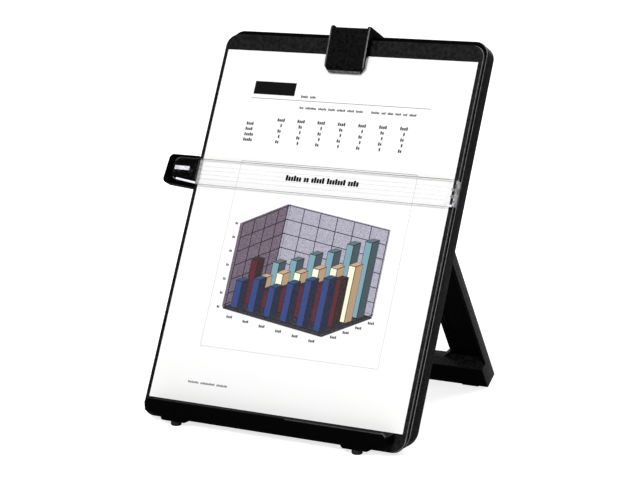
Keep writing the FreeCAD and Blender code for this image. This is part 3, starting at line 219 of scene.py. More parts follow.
def clear_styrene(name, level, haze, flow_scale=24):
    """Clear moulded plastic, seen by its gloss and a haze that runs with the flow of the mould."""
    material, tree, shader = new_material(name)
    flow = noise(tree, scale=flow_scale, detail=3, stretch=(0.25, 1, 1))
    cloud = noise(tree, scale=160, detail=4)
    tree.links.new(blended(tree, cloud, grey(level * CLOUDED), grey(level)), shader.inputs["Base Color"])
    tree.links.new(ranged(tree, cloud, low=0.04, high=0.10), shader.inputs["Roughness"])
    tree.links.new(ranged(tree, flow, *haze), shader.inputs["Alpha"])
    tree.links.new(bumped(tree, flow, strength=0.12, depth=0.0002), shader.inputs["Normal"])
    shader.inputs["IOR"].default_value = 1.55
    return material


def copy_paper(name, first, second):
    """Uncoated office paper with fibres and a little cloudiness."""
    material, tree, shader = new_material(name)
    fibre = noise(tree, scale=1400, detail=4, stretch=(1, 0.5, 0.5))
    cloud = noise(tree, scale=30, detail=4)
    tree.links.new(blended(tree, cloud, first, second), shader.inputs["Base Color"])
    tree.links.new(ranged(tree, fibre, low=0.72, high=0.85), shader.inputs["Roughness"])
    tree.links.new(bumped(tree, fibre, strength=0.25, depth=0.00002), shader.inputs["Normal"])
    shader.inputs["Specular IOR Level"].default_value = 0.25
    return material


def toner(name, colour, second=None, dot_scale=2600):
    """Toner on paper: two tones in fine dots, a little uneven."""
    material, tree, shader = new_material(name)
    dots = noise(tree, scale=dot_scale, detail=2)
    cover = noise(tree, scale=60, detail=3)
    if second is None:
        second = tuple(channel + (PAPER_LEVEL - channel) * SHOWS_THROUGH for channel in colour)
    tree.links.new(blended(tree, dots, colour, second), shader.inputs["Base Color"])
    tree.links.new(ranged(tree, cover, low=0.45, high=0.6), shader.inputs["Roughness"])
    tree.links.new(bumped(tree, dots, strength=0.2, depth=0.00001), shader.inputs["Normal"])
    shader.inputs["Specular IOR Level"].default_value = 0.05
    return material


board_black = moulded_plastic(
    "board black", dark=0.0002, light=0.011,
    roughness=(0.40, 0.52), specular=0.05, grain=0.0014, depth=0.00008,
)
# The darkest black: the ledge's own, made darker to stand in for the shade on its front, and painted shade
# where else it is worn: the housing's groove, the spacer frame in the slit and the clip's cheeks
ledge_and_shade_black = moulded_plastic(
    "ledge and shade black", dark=0.0004, light=0.0016,
    roughness=(0.42, 0.55), specular=0.01, grain=0.0005, depth=0.00003,
)
# A darker copy of the board's plastic with less shine: painted shade on the housing's right side
shaded_side_black = moulded_plastic(
    "shaded side black", dark=0.0002, light=0.009,
    roughness=(0.40, 0.52), specular=0.015, grain=0.0014, depth=0.0001,
)
# Two copies of one plastic for the leg: a very dark one painted as shade and a paler one painted as lit
leg_shade_black = moulded_plastic(
    "leg shade black", dark=0.0003, light=0.003,
    roughness=(0.40, 0.52), specular=0.04, grain=0.0008, depth=0.00005,
)
leg_lit_side = moulded_plastic(
    "leg lit side", dark=0.002, light=0.030,
    roughness=(0.38, 0.50), specular=0.12, grain=0.0010, depth=0.0001,
)
clip_black = moulded_plastic(
    "clip black", dark=0.0002, light=0.006,
    roughness=(0.34, 0.46), specular=0.02, grain=0.0010, depth=0.00005,
)
slider_black = moulded_plastic(
    "slider black", dark=0.0002, light=0.0009,
    roughness=(0.25, 0.34), specular=0.004, grain=0.0009, depth=0.00002,
)
nylon_black = moulded_plastic(
    "nylon black", dark=0.012, light=0.022,
    roughness=(0.38, 0.5), specular=0.3, grain=0.0008, depth=0.00003,
)
plate_pale = moulded_plastic(
    "plate pale", dark=0.52, light=0.86,
    roughness=(0.35, 0.5), specular=0.4, grain=0.0011, depth=0.00001,
)
# Edge materials for rounded edges: their lighter colours are painted highlights
board_edge_highlight = highlit_edge("board edge highlight", dark=0.04, light=0.15, roughness=(0.18, 0.3), specular=0.6)
ledge_edge_highlight = highlit_edge("ledge edge highlight", dark=0.003, light=0.010, roughness=(0.25, 0.4), specular=0.08)
leg_edge_highlight = highlit_edge("leg edge highlight", dark=0.006, light=0.02, roughness=(0.22, 0.4), specular=0.25)
clip_edge_highlight = highlit_edge("clip edge highlight", dark=0.03, light=0.12, roughness=(0.15, 0.28), specular=0.4)
ledge_rim_highlight = highlit_edge("ledge rim highlight", dark=0.010, light=0.045, roughness=(0.25, 0.4), specular=0.2)
foot_rubber = foot_compound("foot rubber", dark=0.006, light=0.014)
screw_steel = plated_steel("screw steel", dark=0.46, light=0.6)
# Lines, rims and glints of the clear bar: pale levels under thick haze paint the grey lines and white
# glints that light makes on its edges; the bar's own faces stay clear
bar_clear = clear_styrene("bar clear", level=0.80, haze=(0.0, 0.003))
bar_line = clear_styrene("bar line", level=0.12, haze=(0.08, 0.22))
bar_rim = clear_styrene("bar rim", level=0.28, haze=(0.70, 0.92))
bar_top = clear_styrene("bar top", level=0.16, haze=(0.65, 0.95))
bar_glint = clear_styrene("bar glint", level=0.92, haze=(0.88, 1.0))
# A highlight painted as a cloudy strip on the bar beside the slider
rib_highlight = clear_styrene("rib highlight", level=0.55, haze=(0.40, 1.0), flow_scale=260)
hook_clear = clear_styrene("hook clear", level=0.50, haze=(0.0, 0.01))
# The hook's front and the rivets: a pale, cloudy colour painted as a reflection
hook_reflection = clear_styrene("hook reflection", level=0.60, haze=(0.10, 0.95), flow_scale=330)
paper_white = copy_paper("paper white", (0.87, 0.87, 0.872), (0.87, 0.87, 0.86))


# Moulded pieces: each is a merged copy of its solid with the edges eased

MERGE_REACH = 0.000001
FLAT_ANGLE = math.radians(0.5)
SHARP_ANGLE = math.radians(32)
SMOOTH_ANGLE = math.radians(35)
EDGE_ROWS = 3

# Radii of the eased edges
BOARD_EASE = 0.0005
CLIP_EASE = 0.0007
BAR_EASE = 0.00025
HOOK_EASE = 0.0003

# How far a face is turned to one side, as the cosine of the angle: fully, squarely, partly or hardly
FULLY = 0.97
SQUARELY = 0.9
PARTLY = 0.4
HARDLY = 0.12


def eased(node, radius, body, slot, *materials, merge_flats=True):
    """Copy of a solid with rounded edges. A second material, if given, is worn by the rounded edges."""
    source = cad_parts[node]
    piece = bpy.data.objects.new(node + "_eased", source.data.copy())
    bpy.context.scene.collection.objects.link(piece)
    only(piece)
    bpy.ops.object.mode_set(mode="EDIT")
    bpy.ops.mesh.select_all(action="SELECT")
    bpy.ops.mesh.remove_doubles(threshold=MERGE_REACH)
    if merge_flats:
        bpy.ops.mesh.dissolve_limited(angle_limit=FLAT_ANGLE)
    bpy.ops.object.mode_set(mode="OBJECT")
    wear(piece, *materials)
    bevel = piece.modifiers.new("eased edge", "BEVEL")
    bevel.width = radius
    bevel.segments = EDGE_ROWS
    bevel.limit_method = "ANGLE"
    bevel.angle_limit = SHARP_ANGLE
    bevel.miter_outer = "MITER_ARC"
    bevel.material = min(len(materials), 2) - 1
    apply_modifiers(piece)
    bpy.ops.object.shade_smooth_by_angle(angle=SMOOTH_ANGLE)
    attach(piece, body)
    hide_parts(node)
    return piece


def slice_piece(piece, place, normal):
    """Cut all round a piece at a plane, so that materials can change there."""
    only(piece)
    bpy.ops.object.mode_set(mode="EDIT")
    bpy.ops.mesh.select_all(action="SELECT")
    bpy.ops.mesh.bisect(plane_co=place, plane_no=normal)
    bpy.ops.object.mode_set(mode="OBJECT")


def dress(piece, material, wanted):
    """Give one of a piece's materials to its faces that pass a test."""
    number = piece.data.materials.find(material.name)
    for face in piece.data.polygons:
        if wanted(face):
            face.material_index = number


def every_face(face):
    return True


def front_curve(face):
    """Whether a face is on the rounding between a piece's front and its sides."""
    return HARDLY < face.normal.dot(OUTWARD) < FULLY


def sheen(face):
    """Whether a face is on the rounding on the reader's right, where an edge material paints a highlight.
    """
    return front_curve(face) and face.normal.x > HARDLY


def front_panel():
    panel = eased("front_panel", BOARD_EASE, "board", "black_shell", board_black, board_edge_highlight)
    dress(panel, board_black, every_face)
    # The rounding on the reader's right wears a painted highlight
    dress(panel, board_edge_highlight, sheen)


def rear_tray():
    """Rear housing with painted light and shade: its face in the groove wears the darkest black as painted
    shade, the rounding on the reader's right a painted highlight, and its right side a darker copy of the
    plastic, with less shine, as painted shade.
    """
    finishes = (board_black, board_edge_highlight, ledge_and_shade_black, shaded_side_black)
    tray = eased("rear_housing", BOARD_EASE, "board", "black_shell", *finishes, merge_flats=False)
    dress(tray, board_black, every_face)
    dress(tray, board_edge_highlight, sheen)
    dress(tray, shaded_side_black, lambda face: face.normal.x > SQUARELY)
    dress(tray, ledge_and_shade_black, lambda face: face.normal.dot(OUTWARD) > FULLY)


# Where the painted highlight on the ledge's rim starts across the board, and how far that rounding is
# turned up and to the reader
RIM_HIGHLIGHT_START = 0.02
RIM_UP = 0.4
RIM_FRONT = -0.5


def ledge_rail():
    """Ledge across the board's lower edge: its rounding on the reader's right, and its rim from a little
    right of the middle, wear a painted highlight.
    """
    ledge = eased("paper_ledge", BOARD_EASE, "board", "black_shell", ledge_and_shade_black, ledge_rim_highlight)
    slice_piece(ledge, Vector((RIM_HIGHLIGHT_START, 0, 0)), ACROSS)

    def rim(face):
        turned = face.normal.z > RIM_UP and face.normal.y < RIM_FRONT
        return front_curve(face) and turned and face.center.x > RIM_HIGHLIGHT_START

    dress(ledge, ledge_and_shade_black, every_face)
    # Painted highlight on the right-hand rounding and on the rim
    dress(ledge, ledge_rim_highlight, sheen)
    dress(ledge, ledge_rim_highlight, rim)


# The leg's outer side and the height under which only the crossbar is: faces turned out or up there are
# painted paler, as lit
LEG_SIDE_START = 0.07
CROSSBAR_TOP = 0.05
SHELF_UP = 0.7


def folding_leg():
    """Leg with painted light and shade: its outer side and the crossbar's upper side are painted paler, as
    lit, than its hollow, which is painted dark as shade; its edges wear a painted highlight.
    """
    leg = eased("leg_frame", BOARD_EASE, "leg", "black_shell", leg_shade_black, leg_edge_highlight, leg_lit_side)
    dress(leg, leg_lit_side, lambda face: face.normal.x > SQUARELY and face.center.x > LEG_SIDE_START)
    dress(leg, leg_lit_side, lambda face: face.normal.z > SHELF_UP and face.center.z < CROSSBAR_TOP)


# How wide the clip's bands of painted highlight at its edges and lip are, and how far a cheek is turned
# sideways
CLIP_EDGE_BAND = 0.0011
CLIP_LIP_BAND = 0.0018
CLIP_FRONT = 0.15
CHEEK = 0.95


def top_clip():
    """Clip with a painted highlight on its edges and lip, and dark cheeks painted as shade."""
    clip = eased("clip_lever", CLIP_EASE, "clip", "black_gloss", clip_black, clip_edge_highlight, ledge_and_shade_black)
    low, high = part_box("clip_lever")
    left = low[0] + CLIP_EDGE_BAND
    right = high[0] - CLIP_EDGE_BAND
    lip = low[2] + CLIP_LIP_BAND
    slice_piece(clip, Vector((left, 0, 0)), ACROSS)
    slice_piece(clip, Vector((right, 0, 0)), ACROSS)
    slice_piece(clip, Vector((0, 0, lip)), Vector((0, 0, 1)))

    def clip_highlit(face):
        at_side = not left < face.center.x < right
        return face.normal.dot(OUTWARD) > CLIP_FRONT and (at_side or face.center.z < lip)

    dress(clip, clip_black, every_face)
    dress(clip, ledge_and_shade_black, lambda face: abs(face.normal.x) > CHEEK)
    dress(clip, clip_edge_highlight, clip_highlit)


# Across the guide's bar: the moulded rib beside the slider, where a highlight is painted, and the sheet's
# ends, past which the low rim wears a painted glint
RIB_LEFT = -0.1096
RIB_RIGHT = -0.1071
GLINT_START = 0.1082

# Up and down the bar, off its middle: where its rims start. The low one slopes at the left end
RIM_START = 0.0075
LOW_RIM_START = 0.006
LOW_RIDGE = 0.0085
END_FACE = 0.7

# Areas of the bar's faces: a groove's is over the first and under the second
GROOVE_AREA = 0.00003
FACE_AREA = 0.0002
SLOPE_AREA = GROOVE_AREA / 3


def clear_bar():
    """Line guide's bar: its faces nearly vanish, while its rims, rib and fine lines catch the light."""
    finishes = (bar_clear, bar_line, bar_glint, rib_highlight, bar_rim, bar_top)
    bar = eased("guide_bar", BAR_EASE, "guide", "clear", *finishes)
    low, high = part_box("guide_bar")
    middle = (Vector(low) + Vector(high)) / 2

    def height(face):
        return (face.center - middle).dot(UPWARD)

    def row(face):
        return round(height(face) / MM)

    def back(face):
        return face.normal.dot(OUTWARD) < -SQUARELY

    def flank(face):
        outer = abs(height(face)) > RIM_START or face.area > SLOPE_AREA
        return abs(face.normal.dot(OUTWARD)) < SQUARELY and outer

    def right_end(face):
        return abs(face.normal.x) > END_FACE and face.center.x > 0

    def top_rim(face):
        return height(face) > RIM_START and face.normal.dot(UPWARD) > PARTLY

    def low_rim(face):
        return height(face) < -LOW_RIM_START and face.normal.dot(UPWARD) < -PARTLY

    def glint(face):
        ridge = height(face) < -LOW_RIDGE or height(face) < -LOW_RIM_START and face.area < GROOVE_AREA
        return abs(face.center.x) > GLINT_START and (low_rim(face) or ridge)

    backs = [face for face in bar.data.polygons if back(face)]
    grooves = {row(face) for face in backs if GROOVE_AREA < face.area < FACE_AREA}
    for place in (RIB_LEFT, RIB_RIGHT, -GLINT_START, GLINT_START):
        slice_piece(bar, Vector((place, 0, 0)), ACROSS)
    dress(bar, bar_clear, every_face)
    dress(bar, bar_line, lambda face: face.area < FACE_AREA and row(face) in grooves)
    dress(bar, bar_line, flank)
    dress(bar, bar_top, top_rim)
    dress(bar, bar_clear, right_end)
    dress(bar, bar_rim, low_rim)
    dress(bar, bar_glint, glint)
    dress(bar, rib_highlight, lambda face: RIB_LEFT < face.center.x < RIB_RIGHT and back(face))


# Where the hook's wall starts across the board, and how far behind the sheet's face its front ends, which
# is painted pale and cloudy as a reflection
HOOK_WALL = 0.1116
HOOK_FRONT_DEPTH = 0.001


def clear_hook():
    """Clear end of the guide: its lap vanishes, and only the front of its wall is painted pale and cloudy,
    as a reflection.
    """
    hook = eased("guide_end_hook", HOOK_EASE, "guide", "clear", hook_clear, hook_reflection)
    front = BOARD @ Vector((0, -HOOK_FRONT_DEPTH, 0))
    slice_piece(hook, front, OUTWARD)

    def wall_front(face):
        return (face.center - front).dot(OUTWARD) > 0 and face.center.x > HOOK_WALL

    dress(hook, hook_clear, every_face)
    dress(hook, hook_reflection, wall_front)


# Pieces that need no more: node, radius of its edges, body, slot and materials
PLAIN_PIECES = (
    # Edge materials here paint highlights on the rounded edges, and the rivets wear the hook's painted
    # reflection
    ("guide_slider", 0.0006, "guide", "black_gloss", slider_black, ledge_edge_highlight),
    ("guide_rivets", 0.0002, "guide", "clear", hook_reflection),
    ("guide_label_plate", 0.0001, "guide", "label", plate_pale),
    ("guide_shoe", 0.0003, "guide", "nylon", nylon_black),
    ("clip_bracket", 0.0003, "board", "nylon", nylon_black),
    ("housing_screws", 0.0001, "board", "steel", screw_steel),
    ("ledge_screws", 0.0001, "board", "steel", screw_steel),
    ("hinge_screws", 0.0001, "board", "steel", screw_steel),
    ("clip_screws", 0.0001, "board", "steel", screw_steel),
)
PIECES_ON_BOTH_SIDES = (
    ("ledge_pad_", 0.0004, "board", "black_shell", ledge_and_shade_black, ledge_edge_highlight),
    ("front_foot_", 0.0003, "board", "rubber", foot_rubber),
    ("leg_foot_", 0.0003, "leg", "rubber", foot_rubber),
    ("leg_hinge_", 0.0003, "board", "nylon", nylon_black),
    ("leg_pin_", 0.0002, "board", "steel", screw_steel),
)
SOLIDS_KEPT = {
    # The spacer frame, seen only in the slit between panel and housing, wears the darkest black as painted
    # shade
    "spacer_frame": ledge_and_shade_black,
    "clip_pin": screw_steel,
    "clip_spring": screw_steel,
    "clip_grip_pad": foot_rubber,
    "guide_leaf": screw_steel,
}

front_panel()
rear_tray()
ledge_rail()
top_clip()
folding_leg()
clear_bar()
clear_hook()
for piece_settings in PLAIN_PIECES:
    eased(*piece_settings)
for name_start, *piece_settings in PIECES_ON_BOTH_SIDES:
    for side in ("left", "right"):
        eased(name_start + side, *piece_settings)
for node_name, finish in SOLIDS_KEPT.items():
    wear(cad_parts[node_name], finish)


# Sheet of paper, standing on the ledge, and the toner on it

SHEET_WIDTH = 0.2159
SHEET_HEIGHT = 0.2794
SHEET_FRONT = 0.0003
SHEET_CORNER = 0.0004
PAPER_THICK = 0.00012
TONER_THICK = 0.000008
TONER_LIFT = 0.00002
TONER_STEP = 0.000012


def on_sheet(across, up, layer=0):
    """Place on the sheet's face, from millimetres off the middle of its lower edge."""
    return BOARD @ Vector((across * MM, SHEET_FRONT + TONER_LIFT + layer * TONER_STEP, up * MM))


def blunt_corners(obj, width, rows):
    only(obj)
    bpy.ops.object.mode_set(mode="EDIT")
    bpy.ops.mesh.bevel(offset=width, segments=rows, affect="VERTICES")
    bpy.ops.object.mode_set(mode="OBJECT")


def thicken(obj, thickness):
    """Give a flat piece its thickness, behind its face."""
    solidify = obj.modifiers.new("thickness", "SOLIDIFY")
    solidify.thickness = thickness
    solidify.offset = -1
    apply_modifiers(obj)


def paper_sheet():
    """One flat sheet with its corners blunt."""
    bpy.ops.object.select_all(action="DESELECT")
    middle = BOARD @ Vector((0, SHEET_FRONT, SHEET_HEIGHT / 2))
    bpy.ops.mesh.primitive_plane_add(size=1, location=middle, rotation=LEAN)
    sheet = bpy.context.object
    sheet.name = "paper_sheet"
    sheet.scale = (SHEET_WIDTH, SHEET_HEIGHT, 1)
    settle(sheet)
    blunt_corners(sheet, SHEET_CORNER, rows=3)
    thicken(sheet, PAPER_THICK)
    wear(sheet, paper_white)
    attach(sheet, "board")
    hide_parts("copy_sheet")


paper_sheet()

# Print on the sheet. Places and sizes on it are millimetres across and up from the middle of its lower edge
TEXT = toner("toner text", (0.012, 0.012, 0.015))
BLOCK = toner("toner block", (0.0004, 0.0004, 0.0005), (0.0016, 0.0016, 0.002))
RULE = toner("toner rule", (0.13, 0.13, 0.14))
FAINT = toner("toner faint", (0.46, 0.46, 0.47), (0.56, 0.56, 0.57))
WALL = toner("toner wall", (0.26, 0.24, 0.32), (0.50, 0.49, 0.57), dot_scale=1500)
SIDE_WALL = toner("toner side wall", (0.09, 0.06, 0.09), (0.22, 0.18, 0.23), dot_scale=1500)
FLOOR = toner("toner floor", (0.012, 0.011, 0.013), (0.08, 0.07, 0.09), dot_scale=1500)
OUTLINE = toner("toner outline", (0.004, 0.004, 0.006))
SERIES = {
    "blue": ((0.018, 0.046, 0.19), (0.005, 0.008, 0.030), (0.024, 0.058, 0.135)),
    "maroon": ((0.085, 0.006, 0.014), (0.016, 0.005, 0.005), (0.035, 0.009, 0.008)),
    "cream": ((0.86, 0.83, 0.62), (0.40, 0.26, 0.155), (0.50, 0.34, 0.20)),
    "teal": ((0.17, 0.33, 0.39), (0.040, 0.066, 0.078), (0.09, 0.14, 0.165)),
}


def patch_stamp(name, corner):
    """A flat square patch, one metre across before it is scaled, its corners cut off by a width, if any."""
    bpy.ops.object.select_all(action="DESELECT")
    bpy.ops.mesh.primitive_plane_add(size=1, rotation=LEAN)
    stamp = bpy.context.object
    stamp.name = name
    if corner:
        blunt_corners(stamp, corner, rows=2)
    return stamp


def stamped(stamp, left, bottom, width, height, layer=0):
    """Copy of a patch, as wide and as high as given, in millimetres."""
    only(stamp)
    bpy.ops.object.duplicate()
    copy = bpy.context.object
    copy.location = on_sheet(left + width / 2, bottom + height / 2, layer)
    copy.scale = (width * MM, height * MM, 1)
    return copy


def joined(name, pieces):
    bpy.ops.object.select_all(action="DESELECT")
    for piece in pieces:
        piece.select_set(True)
    bpy.context.view_layer.objects.active = pieces[0]
    bpy.ops.object.join()
    whole = bpy.context.object
    whole.name = "print_" + name
    settle(whole)
    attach(whole, "board")
    return whole


def printed(name, pieces, material):
    """Join patches into one print and give it the toner's thickness."""
    print_piece = joined(name, pieces)
    thicken(print_piece, TONER_THICK)
    wear(print_piece, material)


# A word's marks: every third is tall, and the gap after a word, each mark's pitch and its width are shares
SHORT_SHARE = 0.78
GAP_SHARE = 0.9
PITCH_SHARE = 0.62
COVER_SHARE = 0.8
TITLE_GAP_SHARE = 0.42
TITLE_PITCH_SHARE = 0.5
TITLE_COVER_SHARE = 0.86


def words(letter, left, bottom, height, lengths, gap=GAP_SHARE, pitch=PITCH_SHARE, cover=COVER_SHARE):
    """A line of unreadable words, each a run of small upright marks; lengths are counts of marks."""
    marks = []
    step = height * pitch
    x = left
    for word, length in enumerate(lengths):
        for index in range(length):
            tall = height if (index + word) % 3 == 0 else height * SHORT_SHARE
            marks.append(stamped(letter, x, bottom, step * cover, tall))
            x += step
        x += gap * height
    return marks


# Head of the page
PRINT_LEFT = -76.5
HEAD_BLOCK_BOTTOM = 244.4
HEAD_BLOCK_WIDTH = 36.6
HEAD_BLOCK_HEIGHT = 10.5
HEAD_LINE_LEFT = -33.8
HEAD_LINE_BOTTOM = 243.5
HEAD_LINE_HEIGHT = 2.0
HEAD_RULE_LEFT = -77.2
HEAD_RULE_BOTTOM = 240.9
HEAD_RULE_WIDTH = 155
HEAD_RULE_THICK = 0.45
ADDRESS_LEFT = -33
ADDRESS_MIDDLE = 29
ADDRESS_BOTTOM = 234.6
ADDRESS_HEIGHT = 1.9


def letterhead(plain, letter):
    block = stamped(plain, PRINT_LEFT, HEAD_BLOCK_BOTTOM, HEAD_BLOCK_WIDTH, HEAD_BLOCK_HEIGHT)
    printed("letterhead_block", [block], BLOCK)
    line = words(letter, HEAD_LINE_LEFT, HEAD_LINE_BOTTOM, HEAD_LINE_HEIGHT, (5, 4))
    printed("letterhead_line", line, TEXT)
    rule = stamped(plain, HEAD_RULE_LEFT, HEAD_RULE_BOTTOM, HEAD_RULE_WIDTH, HEAD_RULE_THICK)
    printed("letterhead_rule", [rule], RULE)
    address = words(letter, ADDRESS_LEFT, ADDRESS_BOTTOM, ADDRESS_HEIGHT, (3, 8, 6, 5, 6, 5, 5))
    address += words(letter, ADDRESS_MIDDLE, ADDRESS_BOTTOM, ADDRESS_HEIGHT, (6, 3, 4, 4, 3, 5))
    printed("address", address, TEXT)


# Table of figures, its first column's left end and the bottom of its heading
TABLE_LEFT = -49.8
TABLE_HEAD = 223.3
TABLE_COLUMNS = 7
TABLE_COLUMN_STEP = 17.6
TABLE_ROW_STEP = 4.35
TABLE_HEAD_HEIGHT = 2.7
FIGURE_HEIGHT = 2.6
FIGURE_INDENT = 5.0
FIGURE_PITCH = 1.5
ROW_NAME_LIFT = 0.2
ROW_NAME_LENGTHS = (4, 4, 5, 5)


def figures_table(letter):
    marks = []
    for column in range(TABLE_COLUMNS):
        x = TABLE_LEFT + column * TABLE_COLUMN_STEP
        marks += words(letter, x, TABLE_HEAD, TABLE_HEAD_HEIGHT, (4,))
        for row in range(len(ROW_NAME_LENGTHS)):
            count = 1 + (column + row) % 2
            indent = FIGURE_INDENT - FIGURE_PITCH * count
            bottom = TABLE_HEAD - (row + 1) * TABLE_ROW_STEP
            marks += words(letter, x + indent, bottom, FIGURE_HEIGHT, (count,))
    for row, count in enumerate(ROW_NAME_LENGTHS):
        bottom = TABLE_HEAD - (row + 1) * TABLE_ROW_STEP + ROW_NAME_LIFT
        marks += words(letter, PRINT_LEFT, bottom, FIGURE_HEIGHT, (count,))
    printed("figures_table", marks, TEXT)


# Thin frame round the chart, and the chart's title
FRAME_LEFT = -73.5
FRAME_RIGHT = 78
FRAME_LOW = 43.5
FRAME_HIGH = 190
FRAME_LINE = 0.35
TITLE_LEFT = -31.5
TITLE_BOTTOM = 177.3
TITLE_HEIGHT = 4.6
TITLE_LENGTHS = (6, 2, 5, 7, 4)


def chart_frame(plain, letter):
    width = FRAME_RIGHT - FRAME_LEFT
    height = FRAME_HIGH - FRAME_LOW
    printed("frame_top", [stamped(plain, FRAME_LEFT, FRAME_HIGH, width, FRAME_LINE)], RULE)
    edges = [
        stamped(plain, FRAME_LEFT, FRAME_LOW, width, FRAME_LINE),
        stamped(plain, FRAME_LEFT, FRAME_LOW, FRAME_LINE, height),
        stamped(plain, FRAME_RIGHT, FRAME_LOW, FRAME_LINE, height),
    ]
    printed("frame_sides", edges, FAINT)
    shares = (TITLE_GAP_SHARE, TITLE_PITCH_SHARE, TITLE_COVER_SHARE)
    title = words(letter, TITLE_LEFT, TITLE_BOTTOM, TITLE_HEIGHT, TITLE_LENGTHS, *shares)
    printed("chart_title", title, BLOCK)


# Chart, built as a small solid model, turned to a slanting view and pressed flat on the sheet
CHART_LEFT = -61
CHART_LOW = 75
CHART_GROUPS = 6
CHART_WIDTH = 100
CHART_DEPTH = 80
CHART_HEIGHT = 68
CHART_TURN = math.radians(28)
CHART_PITCH = math.radians(15)
CHART_WALL = 1.2
PRESSED_SHARE = 0.0015
PRESSED_LAYER = 14
GROUP_STEP = CHART_WIDTH / CHART_GROUPS
COLUMN_WIDTH = 6.6
COLUMN_DEPTH = 12
COLUMN_START = 4
COLUMN_OUTLINE = 0.45
GRID_LINE = 0.5
GRID_LIFT = 1.5
GRID_LEVELS = 7
HEIGHT_SHARES = {
    "blue": (0.33, 0.40, 0.36, 0.46, 0.55, 0.62),
    "maroon": (0.52, 0.22, 0.30, 0.38, 0.45, 0.56),
    "cream": (0.26, 0.36, 0.42, 0.52, 0.58, 0.66),
    "teal": (0.38, 0.46, 0.58, 0.66, 0.80, 0.88),
}
ROW_STEP = CHART_DEPTH / len(HEIGHT_SHARES)
LEVEL_STEP = CHART_HEIGHT / (GRID_LEVELS - 1)

# Small words beside the chart: their height, and how far left of their place or under it they start
SCALE_HEIGHT = 2.0
SCALE_LEFT = 5.5
SCALE_DROP = 1
NAME_HEIGHT = 2.1
GROUP_NAME_LEFT = 2.6
GROUP_NAME_DROP = 7
ROW_NAME_RIGHT = 2.5
ROW_NAME_DROP = 3.5


def drawn(x, y, z):
    """Where a place in the chart's model, in millimetres, comes on the sheet."""
    away = y * math.cos(CHART_TURN) - x * math.sin(CHART_TURN)
    across = x * math.cos(CHART_TURN) + y * math.sin(CHART_TURN)
    up = z * math.cos(CHART_PITCH) + away * math.sin(CHART_PITCH)
    return CHART_LEFT + across, CHART_LOW + up


def pressed(name, pieces):
    """Turn a part of the chart's model to its slanting view and press it flat on the sheet."""
    model = joined(name, pieces)
    for turn in ((0, 0, -CHART_TURN), (CHART_PITCH, 0, 0)):
        model.rotation_euler = turn
        settle(model)
    model.scale = (1, PRESSED_SHARE, 1)
    settle(model)
    model.rotation_euler = (-TILT, 0, 0)
    model.location = on_sheet(CHART_LEFT, CHART_LOW, PRESSED_LAYER)
    settle(model)


def chart_block(x_range, y_range, z_range, material):
    """Block of the chart's model, between places in millimetres."""
    ranges = (x_range, y_range, z_range)
    bpy.ops.object.select_all(action="DESELECT")
    bpy.ops.mesh.primitive_cube_add(size=1, location=[sum(ends) / 2 * MM for ends in ranges])
    block = bpy.context.object
    block.scale = [(ends[1] - ends[0]) * MM for ends in ranges]
    settle(block)
    wear(block, material)
    return block


def chart_walls():
    width, depth, height = (0, CHART_WIDTH), (0, CHART_DEPTH), (0, CHART_HEIGHT)
    walls = [
        chart_block(width, (CHART_DEPTH, CHART_DEPTH + CHART_WALL), height, WALL),
        chart_block((-CHART_WALL, 0), depth, height, SIDE_WALL),
        chart_block(width, depth, (-CHART_WALL, 0), FLOOR),
    ]
    pressed("chart_walls", walls)
    behind = (CHART_DEPTH - GRID_LIFT - GRID_LINE, CHART_DEPTH - GRID_LIFT)
    lifted = (GRID_LIFT, GRID_LIFT + GRID_LINE)
    lines = []
    for step in range(GRID_LEVELS):
        middle = step * LEVEL_STEP
        level = (middle - GRID_LINE / 2, middle + GRID_LINE / 2)
        lines.append(chart_block(width, behind, level, OUTLINE))
        lines.append(chart_block(lifted, depth, level, OUTLINE))
    for group in range(CHART_GROUPS + 1):
        across = (group * GROUP_STEP, group * GROUP_STEP + GRID_LINE)
        lines.append(chart_block(across, behind, height, OUTLINE))
        lines.append(chart_block(across, depth, lifted, OUTLINE))
    for row in range(len(HEIGHT_SHARES) + 1):
        inward = (row * ROW_STEP, row * ROW_STEP + GRID_LINE)
        lines.append(chart_block(lifted, inward, height, OUTLINE))
        lines.append(chart_block(width, inward, lifted, OUTLINE))
    pressed("chart_grid", lines)


def column_stamp(tones):
    """One low column of the chart, with outlined faces: front, side and top each in their own tone."""
    front, side, top = tones
    stamp = chart_block((0, COLUMN_WIDTH), (0, COLUMN_DEPTH), (0, COLUMN_START), front)
    wear(stamp, front, side, top, OUTLINE)
    bpy.ops.object.mode_set(mode="EDIT")
    bpy.ops.mesh.select_all(action="SELECT")
    bpy.ops.mesh.inset(thickness=COLUMN_OUTLINE * MM, use_individual=True)
    bpy.ops.object.mode_set(mode="OBJECT")
    dress(stamp, side, lambda face: abs(face.normal.x) > SQUARELY)
    dress(stamp, top, lambda face: abs(face.normal.z) > SQUARELY)
    dress(stamp, OUTLINE, lambda face: not face.select)
    return stamp


def chart_columns():
    for row, (name, shares) in enumerate(HEIGHT_SHARES.items()):
        front, side, top = SERIES[name]
        tones = (
            toner("toner " + name, front),
            toner("toner deep " + name, side),
            toner("toner mid " + name, top),
        )
        stamp = column_stamp(tones)
        copies = []
        for group, share in enumerate(shares):
            only(stamp)
            bpy.ops.object.duplicate()
            copy = bpy.context.object
            pick_vertices(copy, lambda place: place.z > COLUMN_START * MM / 2)
            bpy.ops.transform.translate(value=(0, 0, (share * CHART_HEIGHT - COLUMN_START) * MM))
            bpy.ops.object.mode_set(mode="OBJECT")
            x = (group + 0.5) * GROUP_STEP - COLUMN_WIDTH / 2
            y = (row + 0.5) * ROW_STEP - COLUMN_DEPTH / 2
            copy.location = (x * MM, y * MM, 0)
            copies.append(copy)
        pressed("columns_" + name, copies)
        only(stamp)
        bpy.ops.object.delete()


